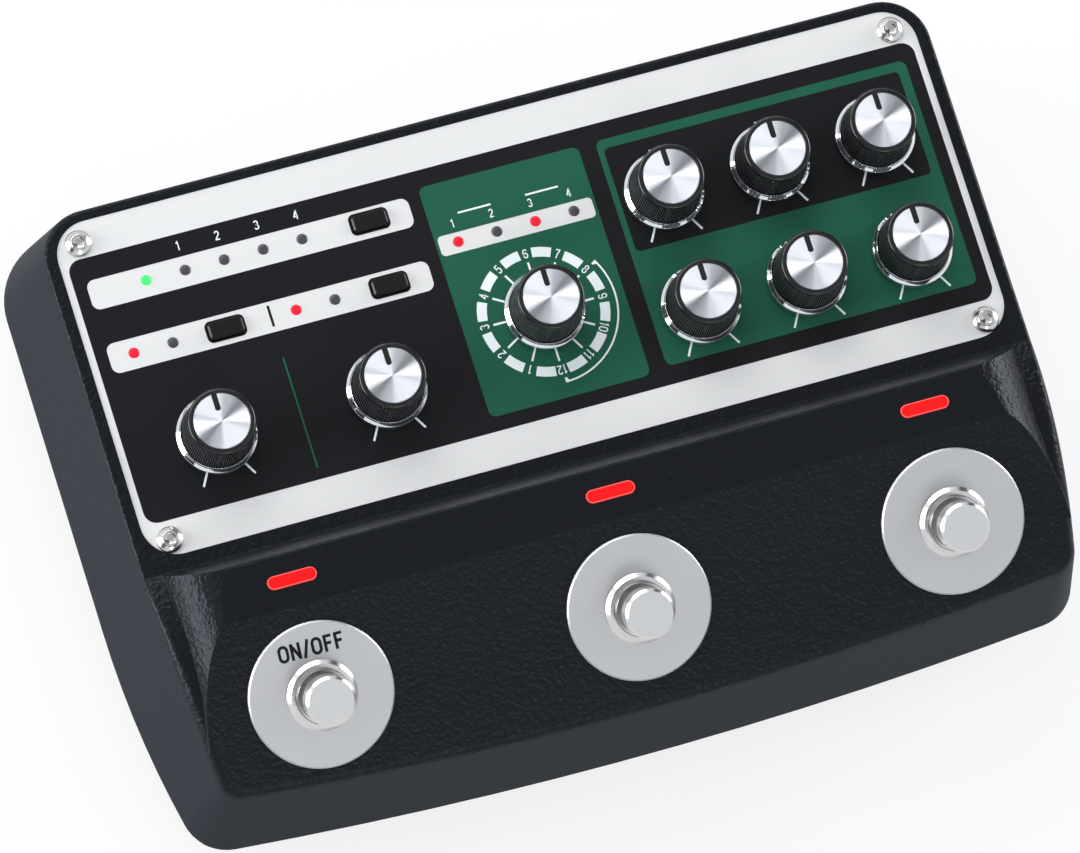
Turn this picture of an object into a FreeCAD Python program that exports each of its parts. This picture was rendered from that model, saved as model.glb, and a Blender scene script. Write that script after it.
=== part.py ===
import FreeCAD, Part
import math
import os
import re
import Sketcher
from FreeCAD import Placement, Rotation, Vector

# Desktop tape echo unit with a raised pedal deck: two moulded housing halves, an inset faceplate with nine
# knobs and three keys, three footswitches, and the boards and jacks that they work.
# Frame: +X to the player's right, +Y away from the player to the jacks, +Z up. The origin is on the surface
# that the unit stands on, at the centre of its outer box. Millimetres and degrees.

SIZES = [
    # Housing outline at the belt line, where the two halves meet
    ("belt_half_width", 96.0, "half the width at the belt line"),
    ("belt_rear", 65.3, "centre to the rear edge at the belt line"),
    ("belt_front", 66.5, "centre to the middle of the front edge at the belt line"),
    ("belt_height", 17.4, "height of the belt line"),
    ("side_straight", 14.9, "centre to the front end of the straight side"),
    ("side_bow_radius", 198.0, "bow of the side in front of its straight part"),
    ("front_bow_radius", 957.0, "bow of the front edge"),
    ("rear_corner_radius", 14.6, "rear corners at the belt line"),
    ("front_corner_radius", 9.1, "front corners at the belt line"),
    ("wall_draft", 8.9, "lean of the upper walls"),
    ("wall", 3.0, "thickness of the upper housing"),
    # Panel and pedal deck
    ("panel_height", 49.9, "top of the faceplate"),
    ("panel_centre", 23.7, "centre of the faceplate behind the centre of the unit"),
    ("rim_lift", 0.25, "height of the rim above the faceplate"),
    ("deck_foot", 13.65, "centre to the foot of the deck's rear face"),
    ("deck_crest", 17.5, "centre to the crest of the deck"),
    ("band_end", 27.95, "centre to the edge between lamp band and plateau"),
    ("band_slope", 4.4, "slope of the lamp band"),
    ("deck_angle", 23.7, "slope of the plateau that carries the footswitches"),
    ("crown_end", 49.4, "centre to the front end of the crowned side edge"),
    ("crown_radius", 55.8, "crown of the side edge beside the deck"),
    ("shoulder_margin", 7.7, "side of the raised deck from the side at the belt line"),
    ("shoulder_radius", 13.2, "round shoulders of the raised deck"),
    ("crown_margin", 0.05, "height of the shoulder form above the crest"),
    ("front_edge_radius", 2.6, "round edge between plateau and front wall"),
    ("crest_edge_radius", 0.8, "round edges of the lamp band"),
    ("rim_edge_radius", 0.8, "round outer edge of the rim"),
    # Faceplate
    ("plate_margin", 7.7, "side of the faceplate from the side at the belt line"),
    ("plate_half_depth", 34.35, "half the depth of the faceplate"),
    ("plate_corner_radius", 7.0, "corners of the faceplate"),
    ("plate_thickness", 1.2, "sheet of the faceplate"),
    ("plate_clearance", 0.15, "gap round the faceplate"),
    ("ledge", 6.8, "side ledges that the faceplate lies on"),
    ("window_half_depth", 28.2, "half the depth of the opening below the faceplate"),
    ("plate_screw_margin", 4.8, "plate screws from the faceplate's sides"),
    ("plate_screw_rear", 30.2, "rear plate screws behind the plate's centre"),
    ("plate_screw_front", 31.1, "front plate screws before the plate's centre"),
    # Screws and their bosses
    ("screw_radius", 1.5, "shank of every screw"),
    ("screw_head_radius", 2.7, "head of every screw"),
    ("screw_head_height", 1.5, "head height of every screw"),
    ("hex_key_radius", 1.15, "round the corners of a screw's hexagon socket"),
    ("hex_key_depth", 0.9, "depth of a screw's hexagon socket"),
    ("screw_clearance", 0.1, "gap round a screw's shank"),
    ("plate_screw_length", 8.0, "shank of a plate screw"),
    ("case_screw_length", 14.0, "shank of a case screw"),
    ("board_screw_length", 7.0, "shank of a board screw"),
    ("boss_radius", 4.0, "round bosses in the housing"),
    ("front_boss_side", 32.0, "front bosses left and right of the middle"),
    ("front_boss_reach", 53.0, "centre to the front bosses"),
    # Bottom case
    ("foot_height", 5.0, "height of the rubber feet below the case"),
    ("floor", 3.0, "floor of the bottom case"),
    ("base_draft", 14.0, "lean of the lower walls"),
    ("base_edge_radius", 1.6, "round lower edge of the bottom case"),
    ("foot_radius", 8.0, "rubber foot at the case"),
    ("foot_tip_radius", 7.2, "rubber foot at the floor"),
    ("foot_recess", 0.6, "depth of a foot's recess"),
    ("foot_margin", 22.0, "feet from the sides at the belt line"),
    ("foot_rear", 44.0, "centre to the rear feet"),
    ("foot_front", 44.0, "centre to the front feet"),
    # Knobs
    ("knob_pitch", 21.9, "spacing of the right-hand knobs from left to right"),
    ("knob_margin", 14.55, "last right-hand knobs from the faceplate's right side"),
    ("knob_upper_row", 10.25, "upper knob row behind the plate's centre"),
    ("knob_lower_row", 13.7, "lower knob row before the plate's centre"),
    ("saturation_margin", 19.4, "saturation knob from the faceplate's left side"),
    ("wow_margin", 53.9, "wow and flutter knob from the faceplate's left side"),
    ("dial_row", 6.7, "mode dial before the plate's centre"),
    ("knob_rim_radius", 6.6, "black knob body at its top"),
    ("knob_skirt_radius", 7.05, "black knob body at its foot"),
    ("knob_height", 11.1, "top of the knob above the faceplate"),
    ("knob_gap", 0.4, "gap below a knob"),
    ("knob_edge", 0.45, "bevel round a knob's top"),
    ("knob_wall", 1.1, "wall of the hollow knob skirt"),
    ("knob_roof", 3.0, "thickness of the knob's top"),
    ("cap_radius", 5.55, "aluminium cap in a knob's top"),
    ("cap_thickness", 0.8, "thickness of the aluminium cap"),
    ("cap_clearance", 0.03, "gap round the cap and inside the ring"),
    ("cap_edge", 0.15, "bevel round the cap"),
    ("pointer_half_width", 0.54, "half the width of a knob's pointer bar"),
    ("pointer_start", 2.15, "centre of a knob to the inner end of its pointer bar"),
    ("pointer_sink", 0.05, "pointer bar below the knob's top"),
    ("ring_radius", 8.0, "chrome ring round a knob's foot"),
    ("ring_height", 2.2, "height of the chrome ring"),
    ("ring_edge", 0.6, "bevel round the chrome ring"),
    ("stem_radius", 3.0, "stem of a knob"),
    ("stem_reach", 6.0, "stem below the top of the faceplate"),
    ("stem_clearance", 0.05, "gap round a knob's stem"),
    ("stem_end_gap", 0.3, "gap below a knob's stem"),
    # Controls below the faceplate
    ("bushing_radius", 3.6, "threaded bushing of a control"),
    ("bushing_clearance", 0.1, "gap round a bushing in its hole"),
    ("bushing_rise", 2.6, "bushing above the faceplate"),
    ("bushing_nut_radius", 5.2, "round the corners of a bushing's nut"),
    ("bushing_nut_height", 1.8, "height of a bushing's nut"),
    ("control_half_width", 5.0, "half the width of a potentiometer"),
    ("control_half_depth", 5.6, "half the depth of a potentiometer"),
    ("selector_half_width", 8.0, "half the width of the mode switch"),
    ("control_drop", 3.4, "top of a control's body below the top of the faceplate"),
    ("panel_board_drop", 10.0, "top of the panel board below the top of the faceplate"),
    ("board_thickness", 1.6, "both circuit boards"),
    ("panel_board_margin", 5.3, "sides of the panel board from the faceplate's sides"),
    ("panel_board_rear", 25.2, "panel board behind the plate's centre"),
    ("panel_board_front", 26.0, "panel board before the plate's centre"),
    # Lamps and keys on the faceplate
    ("led_radius", 1.0, "lit end of a light-emitting diode"),
    ("led_flange_radius", 1.45, "foot of a light-emitting diode"),
    ("led_clearance", 0.08, "gap round a light-emitting diode"),
    ("led_rise", 0.25, "light-emitting diode above the faceplate"),
    ("led_shoulder", 3.0, "its wide part below the top of the faceplate"),
    ("upper_led_row", 19.7, "upper row behind the plate's centre"),
    ("upper_led_margin", 15.4, "first lamp of the upper row from the faceplate's left side"),
    ("upper_led_pitch", 7.92, "spacing of the upper row"),
    ("lower_led_row", 6.37, "lower row behind the plate's centre"),
    ("input_led_margin", 8.9, "first input lamp from the faceplate's left side"),
    ("tape_led_margin", 41.8, "first tape lamp from the faceplate's left side"),
    ("lower_led_pitch", 7.9, "spacing of the lower row"),
    ("head_led_row", 11.2, "head lamps behind the plate's centre"),
    ("head_led_start", 11.9, "first head lamp left of the plate's centre"),
    ("head_led_pitch", 7.92, "spacing of the head lamps"),
    ("key_half_width", 3.5, "half the width of a key"),
    ("key_half_depth", 1.7, "half the depth of a key"),
    ("key_corner_radius", 0.7, "corners of a key"),
    ("key_rise", 0.95, "key above the faceplate"),
    ("key_edge", 0.35, "bevel round a key's top"),
    ("key_clearance", 0.15, "gap round a key"),
    ("key_flange", 0.8, "width of the flange that keeps a key in"),
    ("key_flange_thickness", 0.9, "thickness of a key's flange"),
    ("key_play", 0.05, "gap between flange and faceplate"),
    ("key_travel", 0.8, "travel of a key"),
    ("key_stem_radius", 1.2, "stem that works the switch below a key"),
    ("key_row_margin", 60.8, "memory and tape keys from the faceplate's left side"),
    ("input_key_margin", 27.5, "input key from the faceplate's left side"),
    ("key_switch_half_width", 3.0, "half the width of a switch below a key"),
    ("key_switch_height", 3.6, "height of a switch below a key"),
    ("key_switch_button", 0.6, "button on a switch below a key"),
    ("key_stem_play", 0.1, "gap between a pressed key's stem and its switch"),
    # Footswitches and their lamps
    ("footswitch_margin", 23.83, "outer footswitches from the sides of the raised deck"),
    ("footswitch_reach", 44.4, "centre to the footswitches"),
    ("footswitch_lift", 0.4, "plateau at the footswitches above the faceplate"),
    ("disc_radius", 14.4, "footswitch disc"),
    ("disc_thickness", 0.9, "footswitch disc"),
    ("disc_edge", 0.3, "bevel round the disc"),
    ("collar_radius", 7.0, "round nut that clamps the disc"),
    ("collar_height", 1.5, "height of the round nut"),
    ("collar_bevel", 0.7, "bevel round the round nut"),
    ("barrel_radius", 5.4, "threaded barrel of a footswitch"),
    ("barrel_clearance", 0.1, "gap round the barrel in its holes"),
    ("barrel_rise", 3.6, "barrel above the plateau"),
    ("plunger_radius", 4.95, "head of the plunger"),
    ("plunger_height", 9.5, "top of the plunger above the plateau"),
    ("plunger_head", 3.4, "thickness of the plunger's head"),
    ("plunger_edge", 0.5, "bevel round the plunger's head"),
    ("plunger_stem_radius", 4.0, "stem of the plunger"),
    ("plunger_stem_reach", 5.0, "stem of the plunger below the plateau"),
    ("plunger_clearance", 0.05, "gap round the plunger's stem"),
    ("plunger_travel", 2.0, "travel of a footswitch"),
    ("switch_case_half", 8.0, "half the width of a footswitch body"),
    ("switch_case_depth", 14.0, "depth of a footswitch body"),
    ("plunger_end_gap", 0.3, "gap below a pressed plunger"),
    ("lug_length", 3.0, "solder lugs of a footswitch"),
    ("lug_half_width", 1.2, "half the width of a solder lug"),
    ("lug_half_thickness", 0.3, "half the thickness of a solder lug"),
    ("lamp_reach", 22.7, "centre to the pedal lamps"),
    ("lamp_half_length", 4.95, "half the length of a pedal lamp"),
    ("lamp_half_width", 1.32, "half the width of a pedal lamp"),
    ("lamp_rise", 0.2, "lamp lens above the band"),
    ("lamp_flange_thickness", 0.8, "thickness of a lamp lens's flange"),
    ("lamp_flange", 0.6, "flange round a lamp lens below the band"),
    ("lamp_clearance", 0.05, "gap round a lamp lens"),
    # Rear side
    ("rear_panel_inset", 3.1, "rear panel's face before the rear edge at the belt line"),
    ("rear_panel_thickness", 3.0, "flat panel that the jacks pass through"),
    ("rear_panel_margin", 16.0, "ends of the rear panel from the sides at the belt line"),
    ("rear_panel_low", 19.6, "lower edge of the rear panel"),
    ("rear_panel_high", 36.4, "upper edge of the rear panel"),
    ("rear_panel_play", 0.1, "gap round the rear panel"),
    ("jack_height", 28.0, "height of the jacks' axes"),
    ("jack_rise", 1.9, "phone jack's barrel behind the rear panel"),
    ("plug_radius", 3.2, "bore of a phone jack"),
    ("plug_depth", 24.0, "depth of a phone jack's bore"),
    ("jack_barrel_radius", 4.5, "threaded barrel of a phone jack"),
    ("jack_barrel_clearance", 0.15, "gap round a barrel in the rear panel"),
    ("jack_nut_radius", 6.2, "round the corners of a jack nut"),
    ("jack_nut_height", 1.6, "height of a jack nut"),
    ("jack_half_width", 8.0, "half the width of a phone jack's body"),
    ("jack_length", 25.0, "length of a phone jack's body"),
    ("jack_boss_gap", 3.5, "outer phone jack's body from the boss beside it"),
    ("jack_gap", 2.0, "phone jack's body from the next one"),
    ("mini_plug_radius", 1.8, "bore of a MIDI jack"),
    ("mini_plug_depth", 14.0, "depth of a MIDI jack's bore"),
    ("mini_barrel_radius", 3.0, "barrel of a MIDI jack"),
    ("mini_barrel_rise", 1.0, "MIDI jack's barrel behind the rear panel"),
    ("mini_jack_half_width", 3.6, "half the width of a MIDI jack's body"),
    ("mini_jack_length", 15.0, "length of a MIDI jack's body"),
    ("midi_gap", 3.4, "first MIDI jack's body from the control jack's"),
    ("midi_pitch", 10.0, "spacing of the MIDI jacks"),
    ("usb_pitch", 12.0, "USB port from the second MIDI jack"),
    ("usb_half_width", 4.5, "half the width of the USB shell"),
    ("usb_half_height", 1.65, "half the height of the USB shell"),
    ("usb_shell", 0.35, "sheet of the USB shell"),
    ("usb_length", 9.0, "length of the USB shell"),
    ("usb_tongue_half", 0.35, "half the thickness of the USB tongue"),
    ("power_bore_radius", 2.8, "bore of the power inlet"),
    ("power_nose_radius", 4.2, "round nose of the power inlet"),
    ("power_pin_radius", 1.05, "pin of the power inlet"),
    ("power_depth", 9.5, "depth of the power inlet"),
    ("power_half_width", 4.5, "half the width of the power inlet's body"),
    ("power_length", 14.0, "length of the power inlet's body"),
    # Main board
    ("main_board_top", 21.5, "height of the main board's upper face"),
    ("main_board_margin", 18.0, "sides of the main board from the sides at the belt line"),
    ("main_board_gap", 1.2, "main board's rear edge before the rear panel"),
    ("main_board_front", 22.0, "centre to the main board's front edge"),
    ("board_boss_margin", 24.0, "main board's bosses from the sides at the belt line"),
    ("board_boss_rear", 26.0, "centre to the rear bosses"),
    ("board_boss_front", 16.0, "centre to the front bosses"),
    ("board_boss_radius", 3.2, "bosses below the main board"),
    ("link_half_width", 12.0, "half the width of the board connector"),
    ("link_half_depth", 2.4, "half the depth of the board connector"),
    ("link_reach", 4.0, "board connector behind the centre"),
]
ALIASES = {alias for alias, _, _ in SIZES}

doc = FreeCAD.newDocument("tape_echo_unit")
sheet = doc.addObject("Spreadsheet::Sheet", "Sizes")
for row, (alias, size, note) in enumerate(SIZES, start=1):
    sheet.set("A%d" % row, note)
    sheet.set("B%d" % row, str(size))
    sheet.setAlias("B%d" % row, alias)
doc.recompute()


# Formulas over the size names

def bound(formula):
    """The formula as an expression that reads the spreadsheet."""
    def reading(word):
        return "Sizes." + word.group() if word.group() in ALIASES else word.group()

    return re.sub("[a-z][a-z_]+", reading, str(formula))


def worth(formula):
    """The number that the formula gives now."""
    return float(sheet.evalExpression(str(formula)))


def bind(item, **formulas):
    for name, formula in formulas.items():
        item.setExpression(name, bound(formula))
    return item


UPRIGHT = (Vector(1, 0, 0), "0")
REARWARD = (Vector(1, 0, 0), "-90")
DECK = (Vector(1, 0, 0), "deck_angle")
BAND = (Vector(1, 0, 0), "band_slope")


def place(item, x="0", y="0", z="0", turn=UPRIGHT):
    """Stand the item at x, y, z with its own Z axis turned as given."""
    axis, angle = turn
    item.Placement = Placement(Vector(), Rotation(axis, worth(angle)))
    for letter, formula in zip("xyz", (x, y, z)):
        item.setExpression(".Placement.Base." + letter, bound(formula))
    if turn in (DECK, BAND):
        item.setExpression(".Placement.Rotation.Angle", bound(angle))
    return item


# Primitives, booleans and profiles

def cylinder(name, radius, height, x="0", y="0", z="0"):
    item = bind(doc.addObject("Part::Cylinder", name), Radius=radius, Height=height)
    return place(item, x, y, z)


def cone(name, foot_radius, tip_radius, height, x="0", y="0", z="0"):
    item = doc.addObject("Part::Cone", name)
    return place(bind(item, Radius1=foot_radius, Radius2=tip_radius, Height=height), x, y, z)


def box(name, half_x, half_y, height, x="0", y="0", z="0"):
    """Box centred on x and y that stands on z."""
    item = doc.addObject("Part::Box", name)
    bind(item, Length="2 * (%s)" % half_x, Width="2 * (%s)" % half_y, Height=height)
    return place(item, "%s - (%s)" % (x, half_x), "%s - (%s)" % (y, half_y), z)


def hexagon(name, radius, height, x="0", y="0", z="0"):
    item = doc.addObject("Part::Prism", name)
    item.Polygon = 6
    return place(bind(item, Circumradius=radius, Height=height), x, y, z)


def fuse(name, *items):
    item = doc.addObject("Part::MultiFuse", name)
    item.Shapes = list(items)
    item.Refine = True
    return item


def common(name, *items):
    item = doc.addObject("Part::MultiCommon", name)
    item.Shapes = list(items)
    item.Refine = True
    return item


def cut(name, base, *tools):
    item = doc.addObject("Part::Cut", name)
    item.Base = base
    item.Tool = tools[0] if len(tools) == 1 else fuse(name + "_tools", *tools)
    return item


def group(name, items):
    item = doc.addObject("Part::Compound", name)
    item.Links = list(items)
    return item


def bevel(name, base, radius, chosen, round_edge=False):
    """Fillet or chamfer the edges for which chosen(edge) is true."""
    doc.recompute()
    item = doc.addObject("Part::Fillet" if round_edge else "Part::Chamfer", name)
    item.Base = base
    width = worth(radius)
    item.Edges = [(place_in_list, width, width)
                  for place_in_list, edge in enumerate(base.Shape.Edges, start=1) if chosen(edge)]
    return item


def pin_point(sketch, geometry, end, x, y):
    """Fix one end of a sketch line or arc at x and y from the sketch's origin."""
    for kind, formula in (("DistanceX", x), ("DistanceY", y)):
        number = sketch.addConstraint(Sketcher.Constraint(kind, -1, 1, geometry, end, worth(formula)))
        sketch.setExpression("Constraints[%d]" % number, bound(formula))


def draw_loop(sketch, points):
    """Close a loop through points given as (x, y) or (x, y, radius), anticlockwise.

    A radius makes the stretch to the next point an arc that bulges outward.
    """
    first = sketch.GeometryCount
    count = len(points)
    for index, point in enumerate(points):
        start = Vector(worth(point[0]), worth(point[1]), 0)
        following = points[(index + 1) % count]
        end = Vector(worth(following[0]), worth(following[1]), 0)
        if len(point) == 2:
            sketch.addGeometry(Part.LineSegment(start, end), False)
            continue
        radius = worth(point[2])
        chord = end - start
        rise = math.sqrt(radius ** 2 - (chord.Length / 2) ** 2)
        left = Vector(-chord.y, chord.x, 0).normalize()
        middle = (start + end) / 2 + left * (rise - radius)
        sketch.addGeometry(Part.Arc(start, middle, end), False)
        number = sketch.addConstraint(Sketcher.Constraint("Radius", first + index, radius))
        sketch.setExpression("Constraints[%d]" % number, bound(point[2]))
    for index, point in enumerate(points):
        before = (index - 1) % count
        sketch.addConstraint(Sketcher.Constraint("Coincident", first + before, 2, first + index, 1))
        pin_point(sketch, first + index, 1, point[0], point[1])


def draw_circle(sketch, radius, x="0", y="0"):
    circle = Part.Circle(Vector(worth(x), worth(y), 0), Vector(0, 0, 1), worth(radius))
    geometry = sketch.addGeometry(circle, False)
    number = sketch.addConstraint(Sketcher.Constraint("Radius", geometry, worth(radius)))
    sketch.setExpression("Constraints[%d]" % number, bound(radius))
    pin_point(sketch, geometry, 3, x, y)


def rounded_rectangle(half_x, half_y, radius, x="0", y="0"):
    """Points of a rectangle with round corners, anticlockwise from its lower right corner."""
    right, left = "%s + %s" % (x, half_x), "%s - (%s)" % (x, half_x)
    rear, front = "%s + %s" % (y, half_y), "%s - (%s)" % (y, half_y)
    return [
        ("%s - (%s)" % (right, radius), front, radius), (right, "%s + %s" % (front, radius)),
        (right, "%s - (%s)" % (rear, radius), radius), ("%s - (%s)" % (right, radius), rear),
        ("%s + %s" % (left, radius), rear, radius), (left, "%s - (%s)" % (rear, radius)),
        (left, "%s + %s" % (front, radius), radius), ("%s + %s" % (left, radius), front),
    ]


def new_sketch(body, name, plane):
    sketch = body.newObject("Sketcher::SketchObject", name)
    role = {"XY": "XY_Plane", "XZ": "XZ_Plane", "YZ": "YZ_Plane"}[plane]
    sketch.AttachmentSupport = [(feature, "") for feature in body.Origin.OriginFeatures
                                if feature.Role == role]
    sketch.MapMode = "FlatFace"
    return sketch


def padded(name, plane, loops, length, symmetric=False, circles=()):
    """Body with one pad of the loops and of round holes given as (radius, x, y)."""
    body = doc.addObject("PartDesign::Body", name)
    sketch = new_sketch(body, name + "_outline", plane)
    for loop in loops:
        draw_loop(sketch, loop)
    for circle in circles:
        draw_circle(sketch, *circle)
    pad = body.newObject("PartDesign::Pad", name + "_pad")
    pad.Profile = sketch
    bind(pad, Length=length)
    if symmetric:
        pad.SideType = "Symmetric"
    return body


def turned(name, points):
    """Body turned about its Z axis from points given as (radius, height)."""
    body = doc.addObject("PartDesign::Body", name)
    sketch = new_sketch(body, name + "_profile", "XZ")
    draw_loop(sketch, points)
    revolution = body.newObject("PartDesign::Revolution", name + "_turning")
    revolution.Profile = sketch
    revolution.ReferenceAxis = (sketch, ["V_Axis"])
    return body


# Housing forms. Each is drawn once, and drawn again further in for the hollow below the skin.

FOOTSWITCH_HEIGHT = "(panel_height + footswitch_lift)"
DECK_HALF_WIDTH = "(belt_half_width - shoulder_margin)"


def outline(name, inset, height, draft, downward=False):
    """Body outline at the belt line, pulled up or down with drafted walls."""
    half_width = worth("belt_half_width - (%s)" % inset)
    rear = worth("belt_rear - (%s)" % inset)
    side_end = -worth("side_straight")
    side_radius = worth("side_bow_radius - (%s)" % inset)
    front_radius = worth("front_bow_radius - (%s)" % inset)
    rear_radius = worth("rear_corner_radius - (%s)" % inset)
    corner_radius = worth("front_corner_radius")
    side_centre = Vector(half_width - side_radius, side_end, 0)
    front_centre = Vector(0, worth("front_bow_radius - belt_front"), 0)
    # The corner's centre is as far inside both bows as its own radius.
    across = front_centre - side_centre
    reach_side, reach_front = side_radius - corner_radius, front_radius - corner_radius
    along = (reach_side ** 2 - reach_front ** 2 + across.Length ** 2) / (2 * across.Length)
    off = math.sqrt(reach_side ** 2 - along ** 2)
    unit = Vector(across).normalize()
    corner_centre = side_centre + unit * along + Vector(unit.y, -unit.x, 0) * off
    side_touch = corner_centre + (corner_centre - side_centre).normalize() * corner_radius
    front_touch = corner_centre + (corner_centre - front_centre).normalize() * corner_radius
    rear_centre = Vector(half_width - rear_radius, rear - rear_radius, 0)

    def mirrored(point):
        return Vector(-point.x, point.y, 0)

    def arc(centre, radius, start, end):
        angles = [math.atan2(point.y - centre.y, point.x - centre.x) for point in (start, end)]
        return Part.ArcOfCircle(Part.Circle(centre, Vector(0, 0, 1), radius), *angles)

    side_top = Vector(half_width, side_end, 0)
    side_rear = Vector(half_width, rear - rear_radius, 0)
    rear_right = Vector(half_width - rear_radius, rear, 0)
    sketch = doc.addObject("Sketcher::SketchObject", name + "_outline")
    sketch.addGeometry([
        arc(rear_centre, rear_radius, side_rear, rear_right),
        Part.LineSegment(rear_right, mirrored(rear_right)),
        arc(mirrored(rear_centre), rear_radius, mirrored(rear_right), mirrored(side_rear)),
        Part.LineSegment(mirrored(side_rear), mirrored(side_top)),
        arc(mirrored(side_centre), side_radius, mirrored(side_top), mirrored(side_touch)),
        arc(mirrored(corner_centre), corner_radius, mirrored(side_touch), mirrored(front_touch)),
        arc(front_centre, front_radius, mirrored(front_touch), front_touch),
        arc(corner_centre, corner_radius, front_touch, side_touch),
        arc(side_centre, side_radius, side_touch, side_top),
        Part.LineSegment(side_top, side_rear),
    ], False)
    rear_line, left_line, front_arc, right_line = 1, 3, 6, 9
    for index in range(10):
        sketch.addConstraint(Sketcher.Constraint("Tangent", index, 2, (index + 1) % 10, 1))
    sketch.addConstraint(Sketcher.Constraint("Horizontal", rear_line))
    sketch.addConstraint(Sketcher.Constraint("Vertical", left_line))
    sketch.addConstraint(Sketcher.Constraint("Vertical", right_line))
    radii = {0: "rear_corner_radius", 2: "rear_corner_radius", 4: "side_bow_radius", 8: "side_bow_radius",
             front_arc: "front_bow_radius"}
    formulas = {index: "%s - (%s)" % (size, inset) for index, size in radii.items()}
    formulas.update({5: "front_corner_radius", 7: "front_corner_radius"})
    for index, formula in formulas.items():
        number = sketch.addConstraint(Sketcher.Constraint("Radius", index, worth(formula)))
        sketch.setExpression("Constraints[%d]" % number, bound(formula))
    distances = [
        ("DistanceY", rear_line, 1, "belt_rear - (%s)" % inset),
        ("DistanceX", right_line, 1, "belt_half_width - (%s)" % inset),
        ("DistanceX", left_line, 1, "-(belt_half_width - (%s))" % inset),
        ("DistanceY", right_line, 1, "-side_straight"),
        ("DistanceY", left_line, 2, "-side_straight"),
        ("DistanceX", front_arc, 3, "0"),
        ("DistanceY", front_arc, 3, "front_bow_radius - belt_front"),
    ]
    for kind, index, end, formula in distances:
        number = sketch.addConstraint(Sketcher.Constraint(kind, -1, 1, index, end, worth(formula)))
        sketch.setExpression("Constraints[%d]" % number, bound(formula))
    place(sketch, z="belt_height")
    form = doc.addObject("Part::Extrusion", name)
    form.Base = sketch
    form.DirMode = "Custom"
    form.Dir = Vector(0, 0, -1 if downward else 1)
    form.Solid = True
    return bind(form, LengthFwd=height, TaperAngle="-(%s)" % draft)


def band_at(y):
    """Height of the lamp band's plane at y."""
    return "(%s + tan(band_slope) * (%s + band_end))" % (plateau_at("-band_end"), y)


def plateau_at(y):
    """Height of the plateau's plane at y."""
    return "(%s + tan(deck_angle) * (%s + footswitch_reach))" % (FOOTSWITCH_HEIGHT, y)


def side_profile(name, skin):
    """Side view of the housing without the raised deck."""
    top = "panel_height + rim_lift - (%s)" % skin
    far_front, far_rear = "-1.2 * belt_front", "1.2 * belt_rear"
    drop = "(%s) / cos(deck_angle)" % skin
    loop = [
        (far_front, "0"),
        (far_rear, "0"),
        (far_rear, top),
        ("-deck_foot", top, "crown_radius"),
        ("-crown_end", "%s - %s" % (plateau_at("-crown_end"), drop)),
        (far_front, "%s - %s" % (plateau_at(far_front), drop)),
    ]
    return padded(name, "YZ", [loop], "2.4 * belt_half_width", symmetric=True)


def deck_profile(name, skin):
    """Side view of the raised deck: steep rear face, lamp band and plateau."""
    far_front = "-crown_end"
    plateau_drop = "(%s) / cos(deck_angle)" % skin
    band_drop = "(%s) / cos(band_slope)" % skin
    crest = "(-deck_crest - (%s))" % skin
    band_front = "(-band_end + (%s) * (1 / cos(deck_angle) - 1 / cos(band_slope))" % skin
    band_front += " / (tan(deck_angle) - tan(band_slope)))"
    loop = [
        (far_front, "0"),
        ("-deck_foot - (%s)" % skin, "0"),
        ("-deck_foot - (%s)" % skin, "panel_height - (%s)" % skin),
        (crest, "%s - %s" % (band_at(crest), band_drop)),
        (band_front, "%s - %s" % (plateau_at(band_front), plateau_drop)),
        (far_front, "%s - %s" % (plateau_at(far_front), plateau_drop)),
    ]
    return padded(name, "YZ", [loop], "2.4 * belt_half_width", symmetric=True)


def shoulder_profile(name, skin):
    """Front view of the raised deck: flat top and round shoulders."""
    half = "(%s - (%s))" % (DECK_HALF_WIDTH, skin)
    radius = "(shoulder_radius - (%s))" % skin
    top = "(%s + crown_margin - (%s))" % (band_at("-deck_crest"), skin)
    loop = [
        ("-" + half, "0"),
        (half, "0"),
        (half, "%s - %s" % (top, radius), radius),
        ("%s - %s" % (half, radius), top),
        ("%s - %s" % (radius, half), top, radius),
        ("-" + half, "%s - %s" % (top, radius)),
    ]
    return padded(name, "XZ", [loop], "2.4 * belt_front", symmetric=True)


EDGE_TOLERANCE = 0.02


def round_top(name, base):
    """Round the upper edge of the walls: tight at the rim, full at the front, and swelling in between."""
    doc.recompute()
    item = doc.addObject("Part::Fillet", name)
    item.Base = base
    tight, full = worth("rim_edge_radius"), worth("front_edge_radius")
    swell_start, swell_end = -worth("deck_foot"), -worth("crown_end")

    def radius_at(y):
        share = (y - swell_start) / (swell_end - swell_start)
        return tight + (full - tight) * min(max(share, 0), 1)

    edges = []
    for number, edge in enumerate(base.Shape.Edges, start=1):
        # The rounding runs clockwise seen from above, so each edge's first radius is at its earlier end.
        ends = sorted((vertex.Point for vertex in edge.Vertexes), key=lambda end: -math.atan2(end.y, end.x))
        above_walls = min(point.z for point in ends) > worth("belt_height") + EDGE_TOLERANCE
        straight_across = abs(ends[0].y - ends[1].y) < EDGE_TOLERANCE
        crosses_deck = straight_across and swell_end - 1 < ends[0].y < swell_start + 1
        if above_walls and not crosses_deck:
            edges.append((number, radius_at(ends[0].y), radius_at(ends[1].y)))
    item.Edges = edges
    return item


def crosses_deck_top(edge):
    """True for the two straight edges across the deck, behind and before the lamp band."""
    ends = [vertex.Point for vertex in edge.Vertexes]
    return any(all(abs(point.y + worth(size)) < EDGE_TOLERANCE for point in ends)
               for size in ("deck_crest", "band_end"))


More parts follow.
